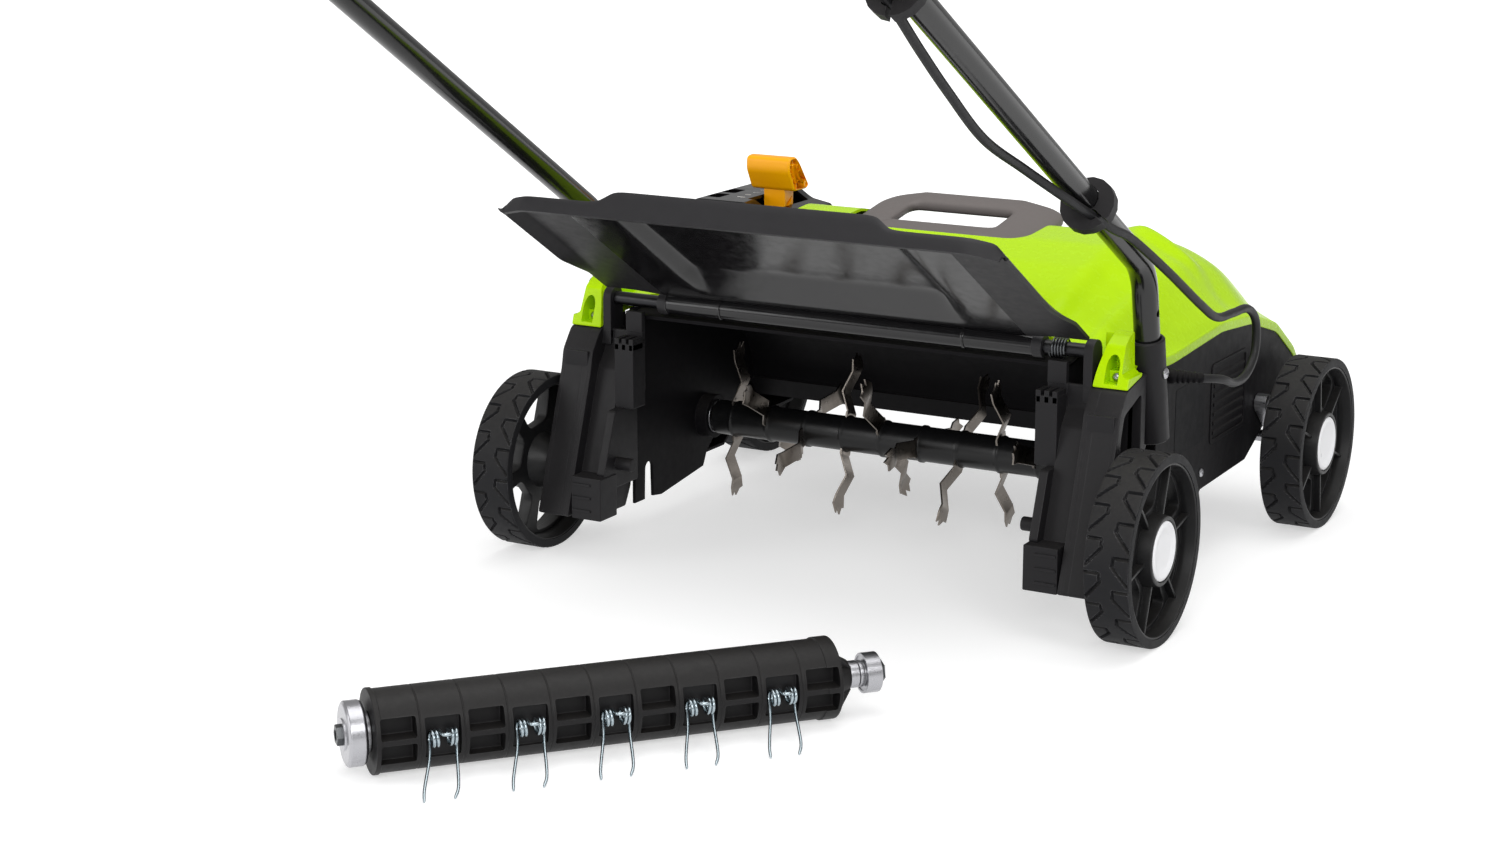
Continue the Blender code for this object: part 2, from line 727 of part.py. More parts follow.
def cover_height(x, y):
    share = between(abs(x), SHOULDER)
    height = between(y, CREST) * (1 - share) + between(y, LIP) * share
    reach = ((x - 0.190) / 0.062) ** 2 + ((y - 0.340) / 0.085) ** 2
    return height + 0.022 * max(0.0, 1 - reach)


def corner_tab(sign):
    """The tab of the cover that reaches down onto a leg, with its arched screw pocket."""
    x = sorted((sign * (LEG_INNER_X + 0.0009), sign * LEG_OUTER_X))
    tab = [(0.0178, 0.2042), (0.0215, 0.2160), (0.0310, 0.2385), (0.0400, 0.2450), (0.0500, 0.2480), (0.0500, 0.2106)]
    return plate([tab], *x)


def cover_mesh():
    half = HOUSING_OUTER_X
    xs = [-half, -0.246, -0.222, -0.199, -0.175, -0.120, -0.060, 0.0, 0.060, 0.120, 0.150, 0.175, 0.199, 0.222, 0.246, half]
    ys = [y for y, _ in CREST]
    skin = sheet(len(xs), len(ys), lambda i, j: (xs[i], ys[j], cover_height(xs[i], ys[j])), "skin")
    shell = thickened(skin, COVER_WALL, -1)
    joins, cuts = [], []
    for sign in (-1, 1):
        joins.append(corner_tab(sign))
        rib = sorted((sign * (LEG_INNER_X + 0.0009), sign * 0.2470))
        joins.append(plate([[(0.0440, 0.2103), (0.0440, 0.2470), (0.1030, 0.2300), (0.1030, 0.2150), (0.0600, 0.2128)]], *rib))
        axis = [Vector((sign * p.x, p.y, p.z)) for p in (socket_point(0.11), socket_point(-0.05))]
        cuts.append(rod(*axis, clear_bore(SOCKET_RADIUS, 16, SEAT), sides=16))
        pocket = sorted((sign * 0.2480, sign * 0.2600))
        cuts.append(block(pocket, (0.0100, 0.0340), (0.2085, 0.2210)))
        cuts.append(rod((sign * 0.2540, 0.0100, 0.2210), (sign * 0.2540, 0.0340, 0.2210), 0.0060, sides=12))
    cuts.append(block([v + d for v, d in zip(QUADRANT_X, (-SEAT, SEAT))], [v + d for v, d in zip(QUADRANT_Y, (-SEAT, SEAT))], (0.18, 0.32)))
    cuts.append(block((-CARRY_X - SEAT, CARRY_X + SEAT), [v + d for v, d in zip(CARRY_Y, (-SEAT, SEAT))], (0.22, 0.32)))
    return combined("top_cover", shell, joins, cuts)


add_part("top_cover", cover_mesh(), ("lime_gloss", LIME, 0.22))


# Carry handle: a ring over the hand opening, its front bar raised

CARRY_THICKNESS = 0.0130


def carry_handle_mesh():
    r = 0.022
    outer = []
    for cx, cy, first in ((CARRY_X - r, CARRY_Y[0] + r, -90), (CARRY_X - r, CARRY_Y[1] - r, 0)):
        outer += arc((cx, cy), r, first, first + 90, 4)
    outer += [(-x, y) for x, y in reversed(outer)]
    s = 0.012
    inner = []
    for cx, cy, first in ((CARRY_OPENING_X - s, CARRY_OPENING_Y[0] + s, -90), (CARRY_OPENING_X - s, CARRY_OPENING_Y[1] - s, 0)):
        inner += arc((cx, cy), s, first, first + 90, 3)
    inner += [(-x, y) for x, y in reversed(inner)]
    ring = plate([outer, inner], -CARRY_THICKNESS, 0.0, axis="Z")
    bm = bmesh.new()
    bm.from_mesh(ring)
    for vert in bm.verts:
        share = (vert.co.y - CARRY_Y[0]) / (CARRY_Y[1] - CARRY_Y[0])
        side = between(abs(vert.co.x), [(0.05, 0.0), (CARRY_X, 0.008)])
        vert.co.z += 0.2880 + 0.0160 * share - side
    return mesh_from(bm, "carry_handle")


add_part("carry_handle", carry_handle_mesh(), ("soft_grip_grey", (0.12, 0.115, 0.11), 0.60))


# Depth setting: a slotted quadrant, its lever, and the cranked front axle that the lever turns

LEVER_PIVOT = Vector((0.0, 0.2500, 0.2400))
LEVER_X = (-0.2080, -0.1610)
LEVER_STEM_X = (-0.1960, -0.1730)
LEVER_PIN_RADIUS = 0.0040


def quadrant_mesh():
    (left, right), (base, top) = QUADRANT_X, QUADRANT_Z
    outline = [(left, base), (left, top - 0.014), (left + 0.008, top)]
    outline += [(right - 0.036, top), (right - 0.022, top - 0.009), (right, top - 0.013), (right, base)]
    inner = offset_line(outline, -WALL)
    inner[0] = (inner[0][0], base - 0.01)
    inner[-1] = (inner[-1][0], base - 0.01)
    outer = plate([outline], *QUADRANT_Y, axis="Y")
    hollow = plate([inner], QUADRANT_Y[0] + WALL, QUADRANT_Y[1] - WALL, axis="Y")
    slot = block((LEVER_STEM_X[0] - 0.001, LEVER_STEM_X[1] + 0.001), (0.2110, 0.2880), (0.28, 0.32))
    sights = blocks([((-0.2400, -0.2240), (a, a + 0.022), (0.28, 0.32)) for a in (0.205, 0.235)])
    pin = [(x, LEVER_PIVOT.y, LEVER_PIVOT.z) for x in (QUADRANT_X[0] - 0.01, QUADRANT_X[1] + 0.01)]
    return combined("depth_quadrant", outer, cuts=[hollow, slot, sights, rod(*pin, clear_bore(LEVER_PIN_RADIUS, 10), sides=10)])


def lever_mesh():
    stem = plate([[(0.2430, 0.2320), (0.2570, 0.2320), (0.2590, 0.3080), (0.2410, 0.3080)]], *LEVER_STEM_X)
    grip = [(0.2290, 0.3360), (0.2420, 0.3370), (0.2500, 0.3300), (0.2680, 0.3070), (0.2640, 0.3035), (0.2390, 0.3035), (0.2280, 0.3240)]
    inner = offset_line(grip, 0.0025, closed=True)
    core = offset_line(grip, 0.0065, closed=True)
    hollow = plate([inner, core], LEVER_X[0] + 0.004, LEVER_X[1] + 0.001)
    ribs = [block((LEVER_X[0] + 0.003, LEVER_X[1] - 0.001), (y, y + 0.002), (z, z + 0.002)) for y, z in ((0.2300, 0.331), (0.2640, 0.3045))]
    pin = [(x, LEVER_PIVOT.y, LEVER_PIVOT.z) for x in (QUADRANT_X[0] + 0.0005, QUADRANT_X[1] - 0.0005)]
    body = combined("grip", plate([grip], *LEVER_X), cuts=[hollow])
    return combined("depth_lever", body, [stem, rod(*pin, LEVER_PIN_RADIUS, sides=10), *ribs])


def front_axle_mesh():
    rod_mesh = rod((-stub_end_x, WHEELBASE, WHEEL_RADIUS), (stub_end_x, WHEELBASE, WHEEL_RADIUS), AXLE_RADIUS, sides=12)
    arm = Vector((WHEELBASE, WHEEL_RADIUS)) - Vector(CRANK_PIVOT)
    heading = math.degrees(math.atan2(arm.y, arm.x))
    outline = arc((WHEELBASE, WHEEL_RADIUS), 0.0090, heading - 90, heading + 90, 5)
    outline += arc(CRANK_PIVOT, 0.0090, heading + 90, heading + 270, 5)
    joins = []
    for sign in (-1, 1):
        joins.append(plate([outline], *sorted((sign * (HOUSING_OUTER_X + 0.0010), sign * (WHEEL_INNER_X - 0.0020)))))
        pin = [(sign * x, *CRANK_PIVOT) for x in (HOUSING_OUTER_X - 0.0080, WHEEL_INNER_X - 0.0030)]
        joins.append(rod(*pin, CRANK_PIN_RADIUS, sides=12))
    return combined("front_axle", rod_mesh, joins)


add_part("depth_quadrant", quadrant_mesh(), BLACK)
add_part("depth_lever", lever_mesh(), ("lever_yellow", (0.92, 0.42, 0.0), 0.35), LEVER_PIVOT)
add_part("front_axle", front_axle_mesh(), STUB_FINISH, (0.0, *CRANK_PIVOT))


# Motor and belt drive

SHAFT_RADIUS = 0.0060
PULLEY_HALF = 0.0075


def belt_loop(extra):
    """The belt's line round both pulleys, extra outside their rims."""
    small = Vector((MOTOR_Y, MOTOR_Z))
    large = Vector((ROTOR_Y, ROTOR_Z))
    span = small - large
    heading = math.degrees(math.atan2(span.y, span.x))
    lean = math.degrees(math.asin((DRIVEN_RADIUS - PINION_RADIUS) / span.length))
    wrap = 90 - lean
    loop = arc(small, PINION_RADIUS + extra, heading - wrap, heading + wrap, 7)
    loop += arc(large, DRIVEN_RADIUS + extra, heading + wrap, heading + 360 - wrap, 12)
    return loop


motor_outer_x = MOTOR_INNER_X + MOTOR_LENGTH
motor = combined(
    "motor_case",
    rod((MOTOR_INNER_X, MOTOR_Y, MOTOR_Z), (motor_outer_x, MOTOR_Y, MOTOR_Z), MOTOR_RADIUS, sides=20),
    [rod((motor_outer_x - 0.01, MOTOR_Y, MOTOR_Z), (motor_outer_x + 0.008, MOTOR_Y, MOTOR_Z), 0.016)],
    [rod((motor_outer_x - 0.02, MOTOR_Y, MOTOR_Z), (motor_outer_x + 0.02, MOTOR_Y, MOTOR_Z), clear_bore(SHAFT_RADIUS, 16))],
)
add_part("motor_case", motor, ("motor_steel", (0.35, 0.35, 0.36), 0.40, 1.0))

motor_shaft_start = motor_outer_x - 0.0197
motor_profile = [
    (motor_shaft_start, 0.0),
    (motor_shaft_start, SHAFT_RADIUS),
    (BELT_X - PULLEY_HALF, SHAFT_RADIUS),
    (BELT_X - PULLEY_HALF, PINION_RADIUS - 2 * GAP),
    (BELT_X + PULLEY_HALF, PINION_RADIUS - 2 * GAP),
    (BELT_X + PULLEY_HALF, SHAFT_RADIUS),
    (BELT_X + PULLEY_HALF + 0.005, SHAFT_RADIUS),
    (BELT_X + PULLEY_HALF + 0.005, 0.0),
]
motor_pivot = (0.0, MOTOR_Y, MOTOR_Z)
add_part("motor_shaft", at_axle(turned(motor_profile, 16), *motor_pivot), STUB_FINISH, motor_pivot)
belt = plate([belt_loop(BELT_THICKNESS), belt_loop(0.0)], BELT_X - BELT_WIDTH / 2, BELT_X + BELT_WIDTH / 2)
add_part("drive_belt", belt, ("belt_rubber", (0.02, 0.02, 0.02), 0.8))
pulley_profile = [
    (BELT_X - PULLEY_HALF, clear_bore(SPIGOT_RADIUS, 18)),
    (BELT_X - PULLEY_HALF, DRIVEN_RADIUS - 2 * GAP),
    (BELT_X + PULLEY_HALF, DRIVEN_RADIUS - 2 * GAP),
    (BELT_X + PULLEY_HALF, clear_bore(SPIGOT_RADIUS, 18)),
]
rotor_pivot = (0.0, ROTOR_Y, ROTOR_Z)
pulley = at_axle(turned(pulley_profile[::-1], 18, closed=True), *rotor_pivot)
add_part("driven_pulley", pulley, ("pulley_alloy", (0.5, 0.5, 0.52), 0.4, 1.0), rotor_pivot)


# Blade rotor

BLADE_PITCH = (BLADE_LAST_X - BLADE_FIRST_X) / (BLADES - 1)
BLADE_XS = [BLADE_FIRST_X + BLADE_PITCH * i for i in range(BLADES)]
BEND = [(0.0, 0.0), (0.0205, 0.0), (0.0380, 0.0085), (0.0570, 0.0010), (0.0800, -0.0040)]


def rotor_shaft_mesh():
    """The tube that the blades sit on, its left journal in the bearing and its right one out to the belt pulley."""
    left = BEARING_OUTER_X + 0.0005
    seat_end = BEARING_OUTER_X + BEARING_WIDTH + 0.0015
    end = TUNNEL_HALF_WIDTH - 0.0080
    tip = BELT_X + PULLEY_HALF + 0.0060
    profile = [(left, 0.0), (left, 0.0072), (seat_end, 0.0072), (seat_end, ROTOR_RADIUS)]
    profile += [(end, ROTOR_RADIUS), (end, SPIGOT_RADIUS), (tip, SPIGOT_RADIUS), (tip, 0.0)]
    return turned(profile, 20)


def blade_mesh():
    """One two-ended blade in the plane of x = 0, its eye round the X axis and its strip bent in a zigzag."""
    half = BLADE_WIDTH / 2
    claw = BLADE_WIDTH * 0.66
    end = [
        (BLADE_EYE, 0.0090),
        (half, 0.0205),
        (half, 0.0570),
        (claw, 0.0650),
        (claw - 0.0050, BLADE_REACH - 0.0010),
        (0.0030, 0.0685),
        (-0.0010, BLADE_REACH),
        (-0.0050, 0.0690),
        (-claw, 0.0680),
        (-half, 0.0570),
        (-half, 0.0205),
        (-BLADE_EYE, 0.0090),
    ]
    outline = end + [(-t, -r) for t, r in end]
    bm = bmesh.new()
    bm.faces.new([bm.verts.new((0.0, t, r)) for t, r in outline])
    for radius, _ in BEND[1:-1]:
        for sign in (-1, 1):
            geometry = bm.verts[:] + bm.edges[:] + bm.faces[:]
            bmesh.ops.bisect_plane(bm, geom=geometry, plane_co=(0, 0, sign * radius), plane_no=(0, 0, 1))
    for vert in bm.verts:
        vert.co.x = math.copysign(between(abs(vert.co.z), BEND), vert.co.z) - BLADE_THICKNESS / 2
    made = bmesh.ops.extrude_face_region(bm, geom=bm.faces[:])
    far = [item for item in made["geom"] if isinstance(item, bmesh.types.BMVert)]
    bmesh.ops.translate(bm, vec=(BLADE_THICKNESS, 0, 0), verts=far)
    strip = mesh_from(bm, "strip")
    eye = rod((-0.02, 0, 0), (0.02, 0, 0), clear_bore(ROTOR_RADIUS, 10), sides=10)
    return combined("blade", strip, cuts=[eye])


blade = blade_mesh()
BLADE_FINISH = ("blade_steel", (0.55, 0.52, 0.49), 0.32, 1.0)
add_part("rotor_shaft", at_axle(rotor_shaft_mesh(), *rotor_pivot), ("rotor_black", (0.02, 0.02, 0.02), 0.35), rotor_pivot)
for i, x in enumerate(BLADE_XS):
    turn = Matrix.Translation((x, ROTOR_Y, ROTOR_Z)) @ Matrix.Rotation(BLADE_STAGGER * i, 4, "X")
    add_part(f"blade_{i + 1:02d}", moved(blade, turn), BLADE_FINISH, rotor_pivot, smooth=False)


def bearing_mesh(start, width, outer, bore):
    profile = [(start, bore), (start + width, bore), (start + width, outer), (start, outer)]
    return turned(profile, 16, closed=True)


bearing = at_axle(bearing_mesh(BEARING_OUTER_X, BEARING_WIDTH, BEARING_RADIUS, clear_bore(0.0072, 16)), *rotor_pivot)
add_part("rotor_bearing", bearing, STUB_FINISH, rotor_pivot)


# Flap, its hinge pin and its closing spring

FLAP_ALONG = Vector((0.0, -math.cos(FLAP_ANGLE), math.sin(FLAP_ANGLE)))
FLAP_OUT = Vector((0.0, math.sin(FLAP_ANGLE), math.cos(FLAP_ANGLE)))
HINGE = Vector((0.0, HINGE_Y, HINGE_Z))
RAISED_INNER_X = 0.1195
RAISED_OUTER_X = 0.1354


def flap_point(x, along, out):
    return Vector((x, 0, 0)) + HINGE + FLAP_ALONG * along + FLAP_OUT * out


def flap_mesh():
    edge = FLAP_HALF_WIDTH
    xs = [-edge, -edge, -0.222, -0.203, -RAISED_OUTER_X, -RAISED_INNER_X, -0.060, 0.0]
    xs += [-x for x in reversed(xs[:-1])]
    fractions = [0.0, 0.07, 0.18, 0.45, 0.80, 1.0, 1.0]
    last = len(xs) - 1

    def place(i, j):
        x = xs[i]
        start = between(abs(x), [(0.1900, 0.0030), (0.2030, 0.0150)])
        end = FLAP_LENGTH - between(abs(x), [(0.2030, 0.0), (0.2220, 0.0080), (edge, 0.0140)])
        along = start + (end - start) * fractions[j]
        rise = between(abs(x), [(RAISED_INNER_X, FLAP_RAISED), (RAISED_OUTER_X, 0.0)])
        out = FLAP_OFFSET + rise * between(fractions[j], [(0.07, 0.0), (0.30, 1.0)])
        if i in (0, last):
            out -= between(fractions[j], [(0.18, 0.0), (0.45, 0.010)])
        if j == len(fractions) - 1:
            out = FLAP_OFFSET - FLAP_LIP if i not in (0, last) else out - 0.0060
            along += 0.0020
        return flap_point(x, along, out)

    skin = sheet(len(xs), len(fractions), place, "flap")
    bm = bmesh.new()
    bm.from_mesh(skin)
    for i_side in (0, last):
        wide = math.copysign(0.0006, xs[i_side])
        for vert in bm.verts:
            if abs(vert.co.x - xs[i_side]) < 1e-7:
                near = (vert.co - HINGE).dot(FLAP_OUT)
                along = (vert.co - HINGE).dot(FLAP_ALONG)
                if near < FLAP_OFFSET - 0.0005 and along > 0.03:
                    vert.co.x += wide
    bmesh.ops.recalc_face_normals(bm, faces=bm.faces)
    middle = min(bm.faces, key=lambda f: f.calc_center_median().x ** 2 + (f.calc_center_median().z - 0.3) ** 2)
    if middle.normal.dot(FLAP_OUT) < 0:
        bmesh.ops.reverse_faces(bm, faces=bm.faces)
    bm.to_mesh(skin)
    bm.free()
    shell = thickened(skin, FLAP_THICKNESS, 1)
    barrel = rod(HINGE + Vector((BARREL_LEFT_X, 0, 0)), HINGE + Vector((BARREL_RIGHT_X, 0, 0)), BARREL_RADIUS, sides=16)
    bore = rod(HINGE - Vector((0.24, 0, 0)), HINGE + Vector((0.24, 0, 0)), clear_bore(HINGE_PIN_RADIUS, 14), sides=14)
    return combined("flap", shell, [barrel], [bore])


add_part("flap", flap_mesh(), ("flap_black", (0.022, 0.021, 0.021), 0.25), HINGE)
pin_end = LEG_INNER_X - 0.0012
add_part("hinge_pin", rod(HINGE - Vector((pin_end, 0, 0)), HINGE + Vector((pin_end, 0, 0)), HINGE_PIN_RADIUS, sides=12), BLACK)

SPRING_WIRE = 0.0009
SPRING_COIL = 0.0082
SPRING_TURNS = 3
SPRING_PITCH = 0.0040
SPRING_FIRST_X = TUNNEL_HALF_WIDTH - 0.0135


def flap_spring_points():
    """A leg under the flap, the turns round the hinge pin, and a leg down the back of the post."""
    count = SPRING_TURNS * 9 + 5
    start = math.atan2(FLAP_OUT.z, FLAP_OUT.y) + math.radians(30)
    points = []
    turn = SPRING_TURNS * 2 * math.pi + math.radians(200)
    for i in range(count + 1):
        angle = start + turn * i / count
        x = SPRING_FIRST_X + SPRING_PITCH * turn / (2 * math.pi) * i / count
        points.append(Vector((x, HINGE_Y + SPRING_COIL * math.cos(angle), HINGE_Z + SPRING_COIL * math.sin(angle))))
    leave = points[0] - points[1]
    leave.x = 0.0
    points.insert(0, points[0] + leave.normalized() * 0.006)
    tail = points[-1] - points[-2]
    tail.x = 0.0
    points.append(points[-1] + tail.normalized() * 0.010)
    return points


def least_gap(points, wire, apart):
    """The least clear distance between parts of a wire that are more than apart points from each other."""
    dense = []
    for a, b in zip(points, points[1:]):
        dense += [a.lerp(b, t / 3) for t in range(3)]
    skip = apart * 3
    return min((dense[i] - dense[k]).length for i in range(len(dense)) for k in range(i + skip, len(dense))) - 2 * wire


spring_points = flap_spring_points()
print("flap spring least gap to itself, mm:", round(least_gap(spring_points, SPRING_WIRE, 6) * 1000, 3))
SPRING_FINISH = ("spring_zinc", (0.55, 0.60, 0.62), 0.28, 1.0)
add_part("flap_spring", tube(spring_points, SPRING_WIRE, resolution=1), SPRING_FINISH, HINGE)


# Handle: lower tubes, upper handle, knobs, switch box, bail, button

TUBE_FINISH = ("tube_gloss_black", (0.028, 0.028, 0.029), 0.22)
TUBE_AT_AXLE_Z = 0.3339
TUBE_AT_AXLE_X = 0.2639
TUBE_SPLAY = 0.0242


def lower_tube_centre(y):
    return Vector((TUBE_AT_AXLE_X + TUBE_SPLAY * y, y, TUBE_AT_AXLE_Z - math.tan(TUBE_SLOPE) * y))


FOLD = lower_tube_centre(FOLD_Y)
UP_SLOPE = Vector((0.0, -math.cos(TUBE_SLOPE), math.sin(TUBE_SLOPE)))
UP_RISE = Vector((0.0, -math.cos(UPPER_RISE_SLOPE), math.sin(UPPER_RISE_SLOPE)))
RISE_NORMAL = Vector((0.0, math.sin(UPPER_RISE_SLOPE), math.cos(UPPER_RISE_SLOPE)))
ARM_X = FOLD.x + 2 * TUBE_RADIUS + 0.0030
FOLD_PIVOT = (0.0, FOLD.y, FOLD.z)


def lower_tube_path():
    bottom = socket_point(SOCKET_LENGTH - 0.0125)
    lean = math.tan(SOCKET_LEAN)
    fall = math.tan(TUBE_SLOPE)
    y = (SOCKET_TOP.y - lean * (TUBE_AT_AXLE_Z - SOCKET_TOP.z)) / (1 - lean * fall)
    corner = lower_tube_centre(y)
    end = lower_tube_centre(FOLD_Y - FOLD_OVERHANG * math.cos(TUBE_SLOPE))
    return rounded_path([bottom, corner, end], [TUBE_BEND_RADIUS], 12)


def bolt_hole():
    return rod((ARM_X + 0.03, FOLD.y, FOLD.z), (FOLD.x - 0.03, FOLD.y, FOLD.z), clear_bore(BOLT_RADIUS, 8), sides=8)


lower_tube = combined("lower_tube", tube(lower_tube_path(), TUBE_RADIUS, TUBE_BEVEL, TUBE_WALL), cuts=[bolt_hole()])
add_part("right_lower_tube", lower_tube, TUBE_FINISH)
add_part("left_lower_tube", mirrored(lower_tube), TUBE_FINISH)

RISE_START = Vector((ARM_X, FOLD.y, FOLD.z)) + UP_SLOPE * UPPER_STRAIGHT
GRIP = RISE_START + UP_RISE * UPPER_RISE


def upper_handle_mesh():
    start = Vector((ARM_X, FOLD.y, FOLD.z)) - UP_SLOPE * FOLD_OVERHANG
    right = [start, RISE_START, GRIP]
    left = [Vector((-p.x, p.y, p.z)) for p in reversed(right)]
    path = rounded_path([*right, *left], [0.08, GRIP_CORNER, GRIP_CORNER, 0.08], 23)
    pipe = tube(path, TUBE_RADIUS, TUBE_BEVEL, TUBE_WALL)
    return combined("upper_handle", pipe, cuts=[bolt_hole(), mirrored(bolt_hole())])


add_part("upper_handle", upper_handle_mesh(), TUBE_FINISH, FOLD_PIVOT)

KNOB_INNER_X = ARM_X + TUBE_RADIUS + SEAT
KNOB_RADIUS = 0.0190


def knob_mesh():
    """A lobed hand knob on its bolt."""
    lobes = []
    for i in range(18):
        turn = 2 * math.pi * i / 18
        radius = KNOB_RADIUS - 0.0025 * (1 - math.cos(6 * turn)) / 2
        lobes.append((FOLD.y + radius * math.cos(turn), FOLD.z + radius * math.sin(turn)))
    body = plate([lobes], KNOB_INNER_X + 0.006, KNOB_INNER_X + 0.020)
    neck = rod((KNOB_INNER_X, FOLD.y, FOLD.z), (KNOB_INNER_X + 0.010, FOLD.y, FOLD.z), 0.0100, sides=16)
    bolt = rod((FOLD.x - TUBE_RADIUS - 0.006, FOLD.y, FOLD.z), (KNOB_INNER_X + 0.010, FOLD.y, FOLD.z), BOLT_RADIUS, sides=10)
    return combined("knob", body, [neck, bolt])


knob = knob_mesh()
add_part("right_knob", knob, BLACK, FOLD_PIVOT)
add_part("left_knob", mirrored(knob), BLACK, FOLD_PIVOT)

BOX_X = (0.2050, ARM_X - TUBE_RADIUS - SEAT)
BOX_ALONG = (0.0450, 0.1500)
BOX_OUT = (-0.0280, 0.0260)
BAIL_ALONG = 0.1000
BAIL_RADIUS = 0.0040
BAIL_REACH = 0.0980
BAIL_OPEN = math.radians(28.0)
BUTTON_RADIUS = 0.0080
BUTTON_PROUD = 0.0045


def rise_point(x, along, out):
    """A place on the raised end of the upper handle: along it from its bend, and out from its line."""
    place = RISE_START + UP_RISE * along + RISE_NORMAL * out
    return Vector((x, place.y, place.z))


def switch_box_mesh():
    turn = Matrix.Identity(4)
    for row in range(3):
        turn[row][0] = (1.0, 0.0, 0.0)[row]
        turn[row][1] = UP_RISE[row]
        turn[row][2] = RISE_NORMAL[row]
        turn[row][3] = rise_point(0.0, 0.0, 0.0)[row]
    box = block(BOX_X, BOX_ALONG, BOX_OUT)
    bm = bmesh.new()
    bm.from_mesh(box)
    bmesh.ops.bevel(bm, geom=bm.edges[:], offset=0.007, segments=1, affect="EDGES", profile=0.5)
    box = moved(mesh_from(bm, "box"), turn)
    hole = rod(rise_point(0.2350, 0.1250, BOX_OUT[1] - 0.014), rise_point(0.2350, 0.1250, 0.05), clear_bore(BUTTON_RADIUS, 16))
    pin = rod(rise_point(0.1950, BAIL_ALONG, 0.0), rise_point(0.2130, BAIL_ALONG, 0.0), clear_bore(BAIL_RADIUS, 10), sides=10)
    return combined("switch_box", box, cuts=[hole, pin])


add_part("switch_box", switch_box_mesh(), BLACK, FOLD_PIVOT)
button_pivot = rise_point(0.2350, 0.1250, BOX_OUT[1])
button = rod(button_pivot - RISE_NORMAL * 0.0092, button_pivot + RISE_NORMAL * BUTTON_PROUD, BUTTON_RADIUS)
add_part("safety_button", button, ("button_red", (0.55, 0.02, 0.01), 0.4), button_pivot)


def bail_mesh():
    """A wire bail from the switch box to the other arm, standing open above the grip."""
    lean = UP_RISE * math.cos(BAIL_OPEN) + RISE_NORMAL * math.sin(BAIL_OPEN)
    pivot = rise_point(0.0, BAIL_ALONG, 0.0)
    far = pivot + lean * BAIL_REACH
    right_x, left_x = BOX_X[0] - 0.0065, -(ARM_X - TUBE_RADIUS - 0.0090)
    corners = [
        pivot + Vector((BOX_X[0] + 0.0060, 0, 0)),
        pivot + Vector((right_x, 0, 0)),
        far + Vector((right_x, 0, 0)),
        far + Vector((left_x, 0, 0)),
        pivot + Vector((left_x, 0, 0)),
        pivot + Vector((-(ARM_X - TUBE_RADIUS - SEAT), 0, 0)),
    ]
    return tube(rounded_path(corners, [0.0055, 0.03, 0.03, 0.0055], 31), BAIL_RADIUS, resolution=1)


add_part("bail_lever", bail_mesh(), TUBE_FINISH, rise_point(0.0, BAIL_ALONG, 0.0))


# Power lead, held by two clips on the right tube

CORD_RADIUS = 0.00375
CLIP_THICKNESS = 0.0090
LOWER_CLIP = (-0.062, 0.0093, -0.0130)
UPPER_CLIP = (-0.372, -0.0045, -0.0154)
CORD_OFFSET = TUBE_RADIUS + CORD_RADIUS + 0.0010


def along_lower_tube(y, x_off, out):
    """A place beside the right lower tube: x_off to the right of its centre and out above its line."""
    slope_out = Vector((0.0, math.sin(TUBE_SLOPE), math.cos(TUBE_SLOPE)))
    return lower_tube_centre(y) + slope_out * out + Vector((x_off, 0, 0))


def clip_mesh(y, eye_x, eye_out):
    """A round clip on the tube with an open eye beside it for the lead, and the middle of that eye."""
    centre = lower_tube_centre(y)
    ahead = (lower_tube_centre(y - 0.01) - centre).normalized()
    side = Vector((1.0, 0.0, 0.0))
    out = side.cross(ahead).normalized() * -1.0
    side = ahead.cross(out) * -1.0
    eye = Vector((eye_x, eye_out))
    outward = eye.normalized()
    across = Vector((-outward.y, outward.x))
    outline = circle(eye * 0.33, 0.0225, 16)
    mesh = plate([outline], -CLIP_THICKNESS / 2, CLIP_THICKNESS / 2, axis="Z")
    bore = plate([circle((0.0, 0.0), clear_bore(TUBE_RADIUS, 12), 12)], -0.01, 0.01, axis="Z")
    hole = plate([circle(eye, clear_bore(CORD_RADIUS, 8, 0.0006), 8)], -0.01, 0.01, axis="Z")
    mouth_line = [eye + across * a + outward * b for a, b in ((0.0005, 0.0), (0.0045, 0.0), (0.0100, 0.0140), (0.0060, 0.0140))]
    mouth = plate([[tuple(p) for p in mouth_line]], -0.01, 0.01, axis="Z")
    made = combined("clip", mesh, cuts=[bore, hole, mouth])
    frame = Matrix.Identity(4)
    for row in range(3):
        frame[row][0] = side[row]
        frame[row][1] = out[row]
        frame[row][2] = ahead[row]
        frame[row][3] = centre[row]
    made = moved(made, frame)
    if frame.to_3x3().determinant() < 0:
        made.flip_normals()
    return made, frame @ Vector((*eye, 0.0))


clips = [clip_mesh(*LOWER_CLIP), clip_mesh(*UPPER_CLIP)]
add_part("lower_cable_clip", clips[0][0], BLACK)
add_part("upper_cable_clip", clips[1][0], BLACK)


def smooth_route(points, spacing):
    """A Catmull-Rom curve through points, with a point about every spacing."""
    points = [Vector(p) for p in points]
    ends = [points[0] * 2 - points[1], *points, points[-1] * 2 - points[-2]]
    route = []
    for a, b, c, d in zip(ends, ends[1:], ends[2:], ends[3:]):
        steps = max(1, round((c - b).length / spacing))
        for i in range(steps):
            t = i / steps
            route.append(0.5 * ((2 * b) + (c - a) * t + (2 * a - 5 * b + 4 * c - d) * t * t + (3 * b - a - 3 * c + d) * t ** 3))
    route.append(points[-1])
    return route


